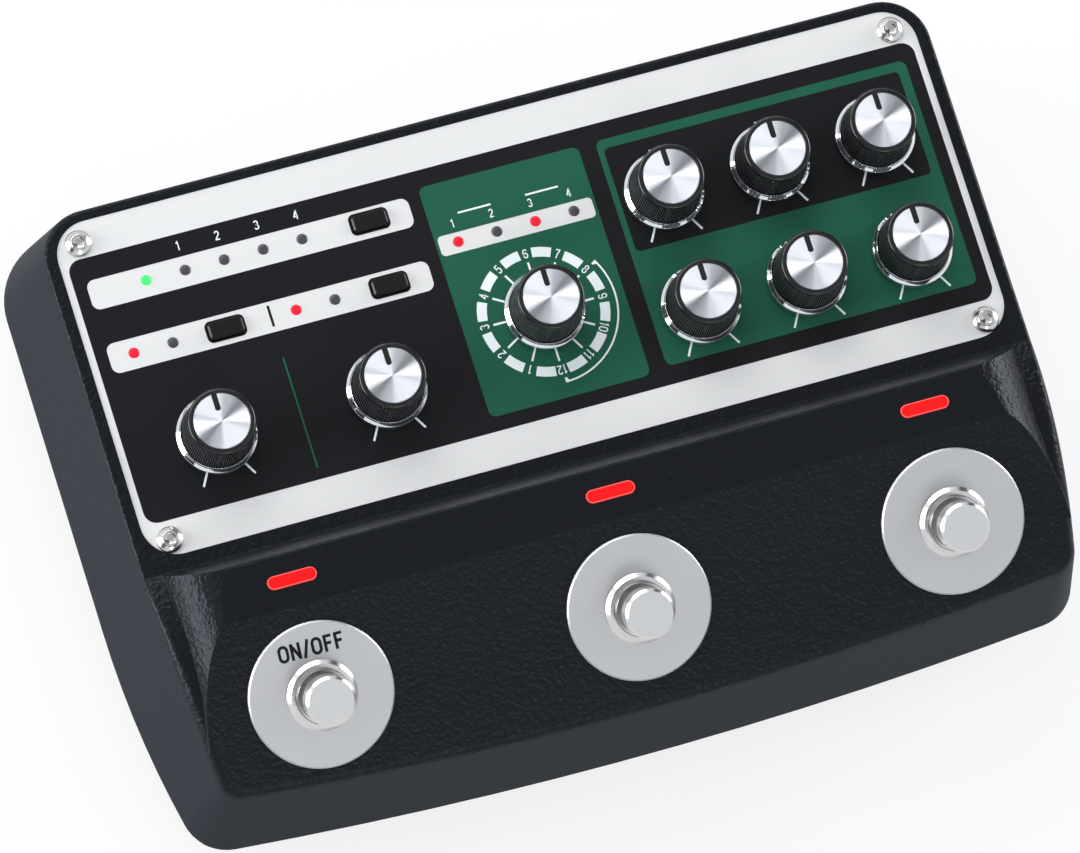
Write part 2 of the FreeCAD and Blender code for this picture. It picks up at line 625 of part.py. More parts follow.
def upper_form(name, skin, rounded=False):
    """Drafted outline cut to the side profile, with the raised deck on it."""
    rise = "%s + 2 * crown_margin - belt_height" % band_at("-deck_crest")
    walls = outline(name + "_walls", skin, rise, "wall_draft")
    low = common(name + "_low", walls, side_profile(name + "_side", skin))
    if rounded:
        low = round_top(name + "_edge", low)
    deck = common(name + "_deck", walls, deck_profile(name + "_ramp", skin),
                  shoulder_profile(name + "_shoulders", skin))
    form = fuse(name, low, deck)
    if rounded:
        form = bevel(name + "_crest", form, "crest_edge_radius", crosses_deck_top, round_edge=True)
    return form


# Places that more than one piece shares

def both_sides(side, *depths):
    return [(sign + side, depth) for sign in ("", "-") for depth in depths]


PLATE_HALF_WIDTH = "(belt_half_width - plate_margin)"
PLATE_SCREW_SIDE = "(%s - plate_screw_margin)" % PLATE_HALF_WIDTH
PLATE_SCREWS = both_sides(PLATE_SCREW_SIDE,
                          "panel_centre + plate_screw_rear", "panel_centre - plate_screw_front")
CASE_SCREWS = PLATE_SCREWS + both_sides("front_boss_side", "-front_boss_reach")
BOARD_BOSSES = both_sides("(belt_half_width - board_boss_margin)", "board_boss_rear", "-board_boss_front")
FEET = both_sides("(belt_half_width - foot_margin)", "foot_rear", "-foot_front")
FLOOR_TOP = "foot_height + floor"
RECESS_FLOOR = "panel_height - plate_thickness"

# Controls on the faceplate, from its centre
KNOB_COLUMNS = ["%s - knob_margin - %d * knob_pitch" % (PLATE_HALF_WIDTH, index) for index in (2, 1, 0)]


def from_left(margin):
    """A place from the faceplate's left side."""
    return "(%s - %s)" % (margin, PLATE_HALF_WIDTH)


KNOBS = {
    "bass": (KNOB_COLUMNS[0], "knob_upper_row"),
    "treble": (KNOB_COLUMNS[1], "knob_upper_row"),
    "reverb": (KNOB_COLUMNS[2], "knob_upper_row"),
    "rate": (KNOB_COLUMNS[0], "-knob_lower_row"),
    "intensity": (KNOB_COLUMNS[1], "-knob_lower_row"),
    "echo": (KNOB_COLUMNS[2], "-knob_lower_row"),
    "saturation": (from_left("saturation_margin"), "-knob_lower_row"),
    "wow": (from_left("wow_margin"), "-knob_lower_row"),
    "mode": ("0", "-dial_row"),
}
KEYS = {
    "memory": (from_left("key_row_margin"), "upper_led_row"),
    "tape": (from_left("key_row_margin"), "lower_led_row"),
    "input": (from_left("input_key_margin"), "lower_led_row"),
}


def led_row(start, pitch, y, count):
    return [("%s + %d * %s" % (start, index, pitch), y) for index in range(count)]


LEDS = (led_row(from_left("upper_led_margin"), "upper_led_pitch", "upper_led_row", 5)
        + led_row(from_left("input_led_margin"), "lower_led_pitch", "lower_led_row", 2)
        + led_row(from_left("tape_led_margin"), "lower_led_pitch", "lower_led_row", 2)
        + led_row("-head_led_start", "head_led_pitch", "head_led_row", 4))
OUTER_FOOTSWITCH = "(%s - footswitch_margin)" % DECK_HALF_WIDTH
FOOTSWITCHES = {"left": "-" + OUTER_FOOTSWITCH, "middle": "0", "right": OUTER_FOOTSWITCH}

# Along the rear side, from the bosses inward
JACK_LAND = "(belt_rear - rear_panel_inset)"
OUTER_JACK = "(%s - boss_radius - jack_boss_gap - jack_half_width)" % PLATE_SCREW_SIDE
INNER_JACK = "(%s - 2 * jack_half_width - jack_gap)" % OUTER_JACK
CONTROL_JACK = "(%s - 2 * jack_half_width - jack_gap)" % INNER_JACK
FIRST_MIDI_JACK = "(%s - jack_half_width - midi_gap - mini_jack_half_width)" % CONTROL_JACK
PHONE_JACKS = [INNER_JACK, OUTER_JACK, "-" + INNER_JACK, "-" + OUTER_JACK, CONTROL_JACK]
MIDI_JACKS = [FIRST_MIDI_JACK, "%s - midi_pitch" % FIRST_MIDI_JACK]
USB_SIDE = "(%s - midi_pitch - usb_pitch)" % FIRST_MIDI_JACK
POWER_SIDE = "((%s - %s) / 2)" % (USB_SIDE, INNER_JACK)


def on_plate(item, x, y, z="panel_height"):
    """Stand the item on the faceplate, at x and y from the plate's centre."""
    return place(item, x, "panel_centre + %s" % y, z)


def on_plateau(item, x):
    """Stand the item square on the plateau at a footswitch."""
    return place(item, x, "-footswitch_reach", FOOTSWITCH_HEIGHT, DECK)


def on_band(item, x):
    """Stand the item square on the lamp band before a footswitch."""
    return place(item, x, "-lamp_reach", band_at("-lamp_reach"), BAND)


def on_rear_panel(item, x, height="jack_height"):
    """Point the item rearward out of the rear panel's face."""
    return place(item, x, JACK_LAND, height, REARWARD)


def stadium(half_length, half_width):
    """Points of a slot whose round ends are two quarter turns each, anticlockwise from its lower left."""
    straight = "((%s) - (%s))" % (half_length, half_width)
    low, high = "-(%s)" % half_width, "(%s)" % half_width
    return [
        ("-" + straight, low), (straight, low, half_width), ("(%s)" % half_length, "0", half_width),
        (straight, high), ("-" + straight, high, half_width), ("-(%s)" % half_length, "0", half_width),
    ]


# Housing

def make_top_housing():
    """Moulded shell with a ledge for the faceplate, screw bosses and a rear opening for the jacks."""
    outer = upper_form("upper_outer", "0", rounded=True)
    inner = upper_form("upper_inner", "wall")
    window = box("panel_window", "%s - ledge" % PLATE_HALF_WIDTH, "window_half_depth",
                 "2 * wall + plate_thickness", "0", "panel_centre", "panel_height - 2 * wall")
    shell = cut("shell", outer, inner, window)
    columns = [cylinder("column_%d" % index, "boss_radius", "panel_height - belt_height",
                        x, y, "belt_height") for index, (x, y) in enumerate(CASE_SCREWS)]
    fittings = common("fittings", outer, fuse("fittings_whole", *columns))
    column_feet = [cylinder("column_foot_%d" % index, "boss_radius", "belt_height + wall - (%s)" % FLOOR_TOP,
                            x, y, FLOOR_TOP) for index, (x, y) in enumerate(CASE_SCREWS)]
    solid = fuse("housing_solid", shell, fittings, *column_feet)
    recess_outline = rounded_rectangle("(%s + plate_clearance)" % PLATE_HALF_WIDTH,
                                       "(plate_half_depth + plate_clearance)",
                                       "(plate_corner_radius + plate_clearance)")
    recess = padded("plate_recess", "XY", [recess_outline], "plate_thickness + wall")
    place(recess, "0", "panel_centre", RECESS_FLOOR)
    opening = box("rear_opening", "belt_half_width - rear_panel_margin", "wall",
                  "rear_panel_high - rear_panel_low",
                  "0", "%s - rear_panel_thickness - rear_panel_play + wall" % JACK_LAND, "rear_panel_low")
    bore = "screw_radius + screw_clearance"
    holes = [cylinder("plate_pilot_%d" % index, bore, "plate_screw_length", x, y,
                      "%s - plate_screw_length" % RECESS_FLOOR) for index, (x, y) in enumerate(PLATE_SCREWS)]
    holes += [cylinder("case_pilot_%d" % index, bore, "case_screw_length", x, y, FLOOR_TOP)
              for index, (x, y) in enumerate(CASE_SCREWS)]
    lamp_slot = stadium("lamp_half_length + lamp_clearance", "lamp_half_width + lamp_clearance")
    for side, x in FOOTSWITCHES.items():
        hole = cylinder("footswitch_hole_" + side, "barrel_radius + barrel_clearance", "4 * wall")
        holes.append(on_plateau(centred_in_wall("footswitch_way_" + side, hole), x))
        slot = padded("lamp_slot_" + side, "XY", [lamp_slot], "4 * wall")
        holes.append(on_band(centred_in_wall("lamp_way_" + side, slot), x))
    return cut("top_housing", solid, recess, opening, *holes)


def centred_in_wall(name, tool):
    """The tool, moved down its own axis so that it passes through a wall on both sides."""
    place(tool, z="-2 * wall")
    return group(name, [tool])


def make_bottom_case():
    """Lower shell with bosses for the main board, recessed feet and counterbored screw holes."""
    outer = outline("base_outer", "0", "belt_height - foot_height", "base_draft", downward=True)
    rounded = bevel("base_rounded", outer, "base_edge_radius", lambda edge: all(
        abs(vertex.Z - worth("foot_height")) < EDGE_TOLERANCE for vertex in edge.Vertexes), round_edge=True)
    inner = outline("base_inner", "wall", "belt_height - (%s)" % FLOOR_TOP, "base_draft", downward=True)
    bosses = [cylinder("board_boss_%d" % index, "board_boss_radius",
                       "main_board_top - board_thickness - (%s)" % FLOOR_TOP, x, y, FLOOR_TOP)
              for index, (x, y) in enumerate(BOARD_BOSSES)]
    solid = fuse("base_solid", cut("base_shell", rounded, inner), *bosses)
    bore = "screw_radius + screw_clearance"
    tools = [cylinder("case_way_%d" % index, bore, "belt_height", x, y, "0")
             for index, (x, y) in enumerate(CASE_SCREWS)]
    tools += [cylinder("counterbore_%d" % index, "screw_head_radius + screw_clearance",
                       "foot_height + screw_head_height + screw_clearance", x, y, "0")
              for index, (x, y) in enumerate(CASE_SCREWS)]
    tools += [cylinder("board_pilot_%d" % index, bore, "board_screw_length - board_thickness", x, y,
                       "main_board_top - board_screw_length") for index, (x, y) in enumerate(BOARD_BOSSES)]
    tools += [cylinder("foot_seat_%d" % index, "foot_radius + screw_clearance",
                       "foot_height + foot_recess", x, y)
              for index, (x, y) in enumerate(FEET)]
    return cut("bottom_case", solid, *tools)


def make_rubber_feet():
    return group("rubber_feet", [
        cone("foot_%d" % index, "foot_tip_radius", "foot_radius", "foot_height + foot_recess", x, y)
        for index, (x, y) in enumerate(FEET)])


def screw(name, length, x, y, seat, upward=False):
    """Screw with a hexagon socket; its head seats at the given height."""
    if upward:
        head_foot, shank_foot, socket_foot = "-screw_head_height", "0", "-screw_head_height"
    else:
        head_foot, shank_foot, socket_foot = "0", "-(%s)" % length, "screw_head_height - hex_key_depth"
    head = cylinder(name + "_head", "screw_head_radius", "screw_head_height", z=head_foot)
    dome = bevel(name + "_dome", head, "screw_head_height / 3",
                 lambda edge: abs(edge.CenterOfMass.z) > EDGE_TOLERANCE)
    shank = cylinder(name + "_shank", "screw_radius", length, z=shank_foot)
    socket = hexagon(name + "_socket", "hex_key_radius", "hex_key_depth", z=socket_foot)
    return place(cut(name, fuse(name + "_solid", dome, shank), socket), x, y, seat)


def make_screws(name, length, places, seat, upward=False):
    return group(name, [screw("%s_%d" % (name, index), length, x, y, seat, upward)
                        for index, (x, y) in enumerate(places)])


# Faceplate and what stands on it

def make_faceplate():
    """Sheet with a hole for every control, key, lamp and screw."""
    key_holes = [rounded_rectangle("(key_half_width + key_clearance)", "(key_half_depth + key_clearance)",
                                   "(key_corner_radius + key_clearance)", x, y) for x, y in KEYS.values()]
    holes = [("bushing_radius + bushing_clearance", x, y) for x, y in KNOBS.values()]
    holes += [("led_radius + led_clearance", x, y) for x, y in LEDS]
    holes += [("screw_radius + screw_clearance", x, "%s - panel_centre" % y) for x, y in PLATE_SCREWS]
    edge = rounded_rectangle(PLATE_HALF_WIDTH, "plate_half_depth", "plate_corner_radius")
    plate = padded("faceplate", "XY", [edge] + key_holes, "plate_thickness", circles=holes)
    return place(plate, "0", "panel_centre", RECESS_FLOOR)


def pointer(name, foot, height, gap="0"):
    """Upright bar from near a knob's centre to its rim, for the pointer and for its slot in the cap."""
    half_length = "(cap_radius + pointer_half_width - pointer_start) / 2"
    outline = rounded_rectangle("(pointer_half_width + %s)" % gap, "(%s + %s)" % (half_length, gap),
                                "(0.9 * pointer_half_width)", "0", "(pointer_start + %s)" % half_length)
    return place(padded(name, "XY", [outline], height), z=foot)


def make_knob(name, x, y):
    """Hollow black knob with a stem and a pointer bar, its slotted aluminium cap and its chrome ring."""
    cap_floor = "knob_height - cap_thickness"
    hollow = "knob_skirt_radius - knob_wall"
    shell = turned("shell_" + name, [
        ("0", "-stem_reach"),
        ("stem_radius", "-stem_reach"),
        ("stem_radius", "knob_height - knob_roof"),
        (hollow, "knob_height - knob_roof"),
        (hollow, "knob_gap"),
        ("knob_skirt_radius", "knob_gap"),
        ("knob_skirt_radius", "ring_height"),
        ("knob_rim_radius", "knob_height - knob_edge"),
        ("knob_rim_radius - knob_edge", "knob_height"),
        ("cap_radius + cap_clearance", "knob_height"),
        ("cap_radius + cap_clearance", cap_floor),
        ("0", cap_floor),
    ])
    bar = pointer("pointer_" + name, "knob_height - knob_roof / 2", "knob_roof / 2 - pointer_sink")
    disc = turned("cap_disc_" + name, [
        ("0", "0"),
        ("cap_radius", "0"),
        ("cap_radius", "cap_thickness - cap_edge"),
        ("cap_radius - cap_edge", "cap_thickness"),
        ("0", "cap_thickness"),
    ])
    slot = pointer("pointer_slot_" + name, "-cap_thickness", "3 * cap_thickness", "cap_clearance")
    bore = "knob_skirt_radius + cap_clearance"
    ring = turned("knob_%s_ring" % name, [
        (bore, "knob_gap"),
        ("ring_radius", "knob_gap"),
        ("ring_radius", "ring_height - ring_edge"),
        ("ring_radius - ring_edge", "ring_height"),
        (bore, "ring_height"),
    ])
    return [on_plate(fuse("knob_" + name, shell, bar), x, y),
            on_plate(cut("knob_%s_cap" % name, disc, slot), x, y, "panel_height + " + cap_floor),
            on_plate(ring, x, y)]


def control(name, half_width, half_depth, x, y):
    """Board-mounted control: a body, a bushing through the faceplate and a bore for the knob's stem."""
    body = box(name + "_body", half_width, half_depth, "panel_board_drop - control_drop",
               z="-panel_board_drop")
    bushing = cylinder(name + "_bushing", "bushing_radius", "control_drop + bushing_rise", z="-control_drop")
    bore = cylinder(name + "_bore", "stem_radius + stem_clearance",
                    "stem_reach + stem_end_gap + 2 * bushing_rise", z="-stem_reach - stem_end_gap")
    return on_plate(cut(name, fuse(name + "_solid", body, bushing), bore), x, y)


def make_controls():
    pots = [control("pot_" + name, "control_half_width", "control_half_depth", *spot)
            for name, spot in KNOBS.items() if name != "mode"]
    selector = control("mode_switch", "selector_half_width", "selector_half_width", *KNOBS["mode"])
    nuts = [on_plate(nut("control_nut_" + name, "bushing_nut_radius", "bushing_nut_height",
                         "bushing_radius + bushing_clearance"), *spot) for name, spot in KNOBS.items()]
    return [group("potentiometers", pots), selector, group("control_nuts", nuts)]


def nut(name, radius, height, bore):
    """Hexagon nut with its corners turned off."""
    blank = hexagon(name + "_hexagon", radius, height)
    turning = cone(name + "_turning", "(%s) + (%s)" % (radius, height), "0.94 * (%s)" % radius, height)
    hole = cylinder(name + "_thread", bore, "3 * (%s)" % height, z="-(%s)" % height)
    return cut(name, common(name + "_blank", blank, turning), hole)


def make_key(name, x, y):
    """Bevelled key with a flange that keeps it below the plate and a stem over its switch."""
    flange_top = "plate_thickness + key_play"
    depth = "(%s + key_flange_thickness)" % flange_top
    prism = padded(name + "_key_prism", "XY",
                   [rounded_rectangle("key_half_width", "key_half_depth", "key_corner_radius")],
                   "key_rise + " + depth)
    place(prism, z="-" + depth)
    top = bevel(name + "_key_top", prism, "key_edge", lambda edge: all(
        abs(vertex.Z - worth("key_rise")) < EDGE_TOLERANCE for vertex in edge.Vertexes))
    flange_outline = rounded_rectangle("(key_half_width + key_flange)", "(key_half_depth + key_flange)",
                                       "(key_corner_radius + key_flange)")
    flange = padded(name + "_key_flange", "XY", [flange_outline], "key_flange_thickness")
    place(flange, z="-" + depth)
    stem_foot = "panel_board_drop - key_switch_height - key_travel - key_stem_play"
    stem = cylinder(name + "_key_stem", "key_stem_radius", "%s - %s" % (stem_foot, depth),
                    z="-(%s)" % stem_foot)
    return on_plate(fuse(name + "_key", top, flange, stem), x, y)


def make_key_switches():
    switches = []
    for name, (x, y) in KEYS.items():
        body = box(name + "_switch_body", "key_switch_half_width", "key_switch_half_width",
                   "key_switch_height - key_switch_button")
        button = cylinder(name + "_switch_button", "key_stem_radius", "key_switch_height")
        switch = fuse(name + "_switch", body, button)
        switches.append(on_plate(switch, x, y, "panel_height - panel_board_drop"))
    return group("key_switches", switches)


def led(name, x, y):
    """Light-emitting diode on the panel board with its lit end in the faceplate."""
    body = turned(name, [
        ("0", "-panel_board_drop"),
        ("led_flange_radius", "-panel_board_drop"),
        ("led_flange_radius", "-led_shoulder"),
        ("led_radius", "-led_shoulder"),
        ("led_radius", "0"),
        ("0.6 * led_radius", "led_rise"),
        ("0", "led_rise"),
    ])
    return on_plate(body, x, y)


def make_leds():
    lamps = [led("led_%d" % index, x, y) for index, (x, y) in enumerate(LEDS)]
    return [group("green_led", lamps[:1]), group("red_leds", lamps[1:])]


# Footswitches and their lamps

def make_footswitch(side, x):
    """Disc, nut, switch body with a threaded barrel, and plunger, all square to the plateau."""
    bore = "barrel_radius + barrel_clearance"
    disc = turned("disc_" + side, [
        (bore, "0"),
        ("disc_radius", "0"),
        ("disc_radius", "disc_thickness - disc_edge"),
        ("disc_radius - disc_edge", "disc_thickness"),
        (bore, "disc_thickness"),
    ])
    collar = turned("collar_" + side, [
        (bore, "0"),
        ("collar_radius", "0"),
        ("collar_radius", "collar_height - collar_bevel"),
        ("collar_radius - collar_bevel", "collar_height"),
        (bore, "collar_height"),
    ])
    case = box("switch_case_" + side, "switch_case_half", "switch_case_half", "switch_case_depth",
               z="-wall - switch_case_depth")
    barrel = cylinder("barrel_" + side, "barrel_radius", "wall + barrel_rise", z="-wall")
    lugs = [box("lug_%s_%d" % (side, index), "lug_half_width", "lug_half_thickness", "lug_length",
                "%d * switch_case_half / 2" % index, "0", "-wall - switch_case_depth - lug_length")
            for index in (-1, 0, 1)]
    well = cylinder("well_" + side, "plunger_stem_radius + plunger_clearance",
                    "plunger_stem_reach + plunger_travel + plunger_end_gap + 2 * barrel_rise",
                    z="-plunger_stem_reach - plunger_travel - plunger_end_gap")
    body = cut("switch_" + side, fuse("switch_solid_" + side, case, barrel, *lugs), well)
    plunger = turned("footswitch_%s_plunger" % side, [
        ("0", "-plunger_stem_reach"),
        ("plunger_stem_radius", "-plunger_stem_reach"),
        ("plunger_stem_radius", "plunger_height - plunger_head"),
        ("plunger_radius", "plunger_height - plunger_head"),
        ("plunger_radius", "plunger_height - plunger_edge"),
        ("plunger_radius - plunger_edge", "plunger_height"),
        ("0", "plunger_height"),
    ])
    seated = group("seated_collar_" + side, [place(collar, z="disc_thickness")])
    return [on_plateau(item, x) for item in (disc, seated, body, plunger)]


def make_footswitches():
    discs, nuts, bodies, plungers = zip(*(make_footswitch(side, x) for side, x in FOOTSWITCHES.items()))
    return [group("footswitch_discs", discs), group("footswitch_nuts", nuts),
            group("footswitch_bodies", bodies)] + list(plungers)


def make_lamp_lenses():
    """Red lenses pushed up through the lamp band from below, each on its flange."""
    lenses = []
    for side, x in FOOTSWITCHES.items():
        lens = place(padded("lens_bar_" + side, "XY", [stadium("lamp_half_length", "lamp_half_width")],
                            "wall + lamp_rise"), z="-wall")
        flange_outline = stadium("lamp_half_length + lamp_flange", "lamp_half_width + lamp_flange")
        flange = place(padded("lens_flange_" + side, "XY", [flange_outline], "lamp_flange_thickness"),
                       z="-wall - lamp_flange_thickness")
        lenses.append(on_band(fuse("lens_" + side, lens, flange), x))
    return group("lamp_lenses", lenses)


# Rear side

def hole_in_panel(name, radius, x):
    """Drill for the rear panel, lying along the axis of a jack or inlet."""
    drill = cylinder(name + "_drill", radius, "4 * rear_panel_thickness", z="-2 * rear_panel_thickness")
    return on_rear_panel(group(name, [drill]), x)


def make_rear_panel():
    """Flat panel in the housing's rear opening, clamped between the jacks and their nuts."""
    half_width = "(belt_half_width - rear_panel_margin - rear_panel_play)"
    half_height = "((rear_panel_high - rear_panel_low) / 2 - rear_panel_play)"
    plain = box("rear_panel_plain", half_width, half_height, "rear_panel_thickness",
                z="-rear_panel_thickness")
    blank = on_rear_panel(group("rear_panel_blank", [plain]), "0", "(rear_panel_high + rear_panel_low) / 2")
    holes = [hole_in_panel("jack_way_%d" % index, "jack_barrel_radius + jack_barrel_clearance", x)
             for index, x in enumerate(PHONE_JACKS)]
    holes += [hole_in_panel("midi_way_%d" % index, "mini_barrel_radius + jack_barrel_clearance", x)
              for index, x in enumerate(MIDI_JACKS)]
    holes.append(hole_in_panel("power_way", "power_nose_radius + jack_barrel_clearance", POWER_SIDE))
    usb_drill = box("usb_drill", "usb_half_width + jack_barrel_clearance",
                    "usb_half_height + jack_barrel_clearance",
                    "4 * rear_panel_thickness", z="-2 * rear_panel_thickness")
    holes.append(on_rear_panel(group("usb_way", [usb_drill]), USB_SIDE, "main_board_top + usb_half_height"))
    return cut("rear_panel", blank, *holes)


def jack(name, x, half_width, barrel_radius, barrel_end, length, bore_radius, bore_depth):
    """Jack on the main board, with a barrel through the rear panel and a bore for its plug."""
    half_height = "jack_height - main_board_top"
    body = box(name + "_body", half_width, half_height, length, z="-rear_panel_thickness - %s" % length)
    barrel = cylinder(name + "_barrel", barrel_radius, "rear_panel_thickness + %s" % barrel_end,
                      z="-rear_panel_thickness")
    bore = cylinder(name + "_bore", bore_radius, "2 * %s" % bore_depth,
                    z="%s - %s" % (barrel_end, bore_depth))
    return on_rear_panel(cut(name, fuse(name + "_solid", body, barrel), bore), x)


def make_jacks():
    phone = [jack("phone_jack_%d" % index, x, "jack_half_width", "jack_barrel_radius", "jack_rise",
                  "jack_length", "plug_radius", "plug_depth") for index, x in enumerate(PHONE_JACKS)]
    nuts = [on_rear_panel(nut("jack_nut_%d" % index, "jack_nut_radius", "jack_nut_height",
                              "jack_barrel_radius + jack_barrel_clearance"), x)
            for index, x in enumerate(PHONE_JACKS)]
    midi = [jack("midi_jack_%d" % index, x, "mini_jack_half_width", "mini_barrel_radius", "mini_barrel_rise",
                 "mini_jack_length", "mini_plug_radius", "mini_plug_depth")
            for index, x in enumerate(MIDI_JACKS)]
    return [group("phone_jacks", phone), group("jack_nuts", nuts), group("midi_jacks", midi)]


def make_usb_port():
    """Folded shell round a tongue, lying on the main board with its mouth in the rear panel."""
    floor_height = "-rear_panel_thickness - usb_length"
    shell = box("usb_outside", "usb_half_width", "usb_half_height", "rear_panel_thickness + usb_length",
                z=floor_height)
    hollow = box("usb_inside", "usb_half_width - usb_shell", "usb_half_height - usb_shell",
                 "2 * rear_panel_thickness + usb_length", z=floor_height + " + 2 * usb_shell")
    tongue = box("usb_tongue", "usb_half_width - 4 * usb_shell", "usb_tongue_half", "usb_length",
                 z=floor_height + " + usb_shell")
    port = fuse("usb_port", cut("usb_can", shell, hollow), tongue)
    return on_rear_panel(port, USB_SIDE, "main_board_top + usb_half_height")


def make_power_inlet():
    """Block with a round mouth and a centre pin."""
    body = box("power_block", "power_half_width", "jack_height - main_board_top", "power_length",
               z="-rear_panel_thickness - power_length")
    nose = cylinder("power_nose", "power_nose_radius", "rear_panel_thickness", z="-rear_panel_thickness")
    bore = cylinder("power_mouth", "power_bore_radius", "2 * power_depth", z="-power_depth")
    pin = cylinder("power_pin", "power_pin_radius", "power_depth - power_bore_radius / 2", z="-power_depth")
    inlet = fuse("power_inlet", cut("power_shell", fuse("power_solid", body, nose), bore), pin)
    return on_rear_panel(inlet, POWER_SIDE)


# Boards

def make_boards():
    panel = box("panel_board", "%s - panel_board_margin" % PLATE_HALF_WIDTH,
                "(panel_board_rear + panel_board_front) / 2", "board_thickness",
                "0", "panel_centre + (panel_board_rear - panel_board_front) / 2",
                "panel_height - panel_board_drop - board_thickness")
    rear = "(%s - rear_panel_thickness - main_board_gap)" % JACK_LAND
    blank = box("main_board_blank", "belt_half_width - main_board_margin",
                "(%s + main_board_front) / 2" % rear, "board_thickness",
                "0", "(%s - main_board_front) / 2" % rear,
                "main_board_top - board_thickness")
    holes = [cylinder("board_way_%d" % index, "screw_radius + screw_clearance", "3 * board_thickness", x, y,
                      "main_board_top - 2 * board_thickness") for index, (x, y) in enumerate(BOARD_BOSSES)]
    link = box("board_connector", "link_half_width", "link_half_depth",
               "panel_height - panel_board_drop - board_thickness - main_board_top", "0", "link_reach",
               "main_board_top")
    return [panel, cut("main_board", blank, *holes), link]


def make_nodes():
    nodes = [make_top_housing(), make_bottom_case(), make_rubber_feet(), make_rear_panel(), make_faceplate()]
    nodes.append(make_screws("plate_screws", "plate_screw_length", PLATE_SCREWS, "panel_height"))
    nodes.append(make_screws("case_screws", "case_screw_length", CASE_SCREWS,
                             "foot_height + screw_head_height + screw_clearance", upward=True))
    nodes.append(make_screws("board_screws", "board_screw_length", BOARD_BOSSES, "main_board_top"))
    for name, (x, y) in KNOBS.items():
        nodes += make_knob(name, x, y)
    nodes += make_controls()
    nodes += [make_key(name, x, y) for name, (x, y) in KEYS.items()]
    nodes.append(make_key_switches())
    nodes += make_leds()
    nodes += make_footswitches()
    nodes.append(make_lamp_lenses())
    nodes += make_jacks()
    nodes += [make_usb_port(), make_power_inlet()]
    nodes += make_boards()
    return nodes


def check_and_export(nodes):
    doc.recompute()
    for item in doc.Objects:
        if {"Invalid", "Error"} & set(item.State):
            raise RuntimeError("%s did not build: %s" % (item.Label, item.State))
    for node in nodes:
        if node.Shape.isNull() or not node.Shape.isValid():
            raise RuntimeError("%s has no valid shape" % node.Label)
    os.makedirs("parts", exist_ok=True)
    for node in nodes:
        node.Shape.exportStep(os.path.join("parts", node.Label + ".step"))
    print("%d nodes written" % len(nodes))


check_and_export(make_nodes())
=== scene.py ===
import math

import bmesh
import bpy
from mathutils import Matrix, Vector


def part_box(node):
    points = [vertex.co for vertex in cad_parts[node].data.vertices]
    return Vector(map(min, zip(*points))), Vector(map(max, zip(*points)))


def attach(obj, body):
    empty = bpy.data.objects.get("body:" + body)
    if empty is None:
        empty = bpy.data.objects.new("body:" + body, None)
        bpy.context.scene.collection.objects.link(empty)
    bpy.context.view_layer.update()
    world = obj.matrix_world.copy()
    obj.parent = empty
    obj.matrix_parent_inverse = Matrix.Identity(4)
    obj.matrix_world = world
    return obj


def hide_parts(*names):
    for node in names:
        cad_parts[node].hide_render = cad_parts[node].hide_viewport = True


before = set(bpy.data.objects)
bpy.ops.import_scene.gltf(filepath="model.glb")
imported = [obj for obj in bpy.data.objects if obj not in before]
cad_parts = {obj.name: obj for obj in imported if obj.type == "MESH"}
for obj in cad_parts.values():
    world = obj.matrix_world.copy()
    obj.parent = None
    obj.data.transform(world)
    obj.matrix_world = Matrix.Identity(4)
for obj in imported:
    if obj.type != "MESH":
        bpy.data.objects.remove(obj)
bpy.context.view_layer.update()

# Bottom case and feet
# The lower half of the housing is moulded ABS with the same leather grain as the upper half. Six screws
# hold it from below, and four turned rubber feet are pressed into recesses in its floor.

MM = 0.001


def linear(code):
    """Linear colour of an sRGB hex code."""
    parts = [int(code[start:start + 2], 16) / 255 for start in (0, 2, 4)]
    return [part / 12.92 if part <= 0.04045 else ((part + 0.055) / 1.055) ** 2.4 for part in parts] + [1.0]


def new_material(name):
    """Empty node material and its tree."""
    material = bpy.data.materials.new(name)
    material.use_nodes = True
    material.node_tree.nodes.clear()
    return material, material.node_tree


def add(tree, kind, inputs=None, **settings):
    """Add a node; each input is a number, a colour or another node's output."""
    node = tree.nodes.new(kind)
    for name, value in settings.items():
        setattr(node, name, value)
    for name, value in (inputs or {}).items():
        if isinstance(value, bpy.types.NodeSocket):
            tree.links.new(value, node.inputs[name])
        else:
            node.inputs[name].default_value = value
    return node


def dress(material, *nodes):
    """Put the material on carried-over nodes."""
    for node in nodes:
        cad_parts[node].material_slots[0].material = material


# Leather-grained ABS: a black with a slight blue cast. Low wrinkles about a millimetre wide break the
# satin highlights of the top into sparkle on the round edges, and the drafted walls are nearly matt. The
# walls are painted a bluer grey than the top, a painted reflection of the surroundings.
GRAIN_WIDTH = 1.05
GRAIN_DEPTH = 0.12
TOP_ROUGHNESS = 0.3
WALL_ROUGHNESS = 0.66
WALL_GRAIN = 0.3


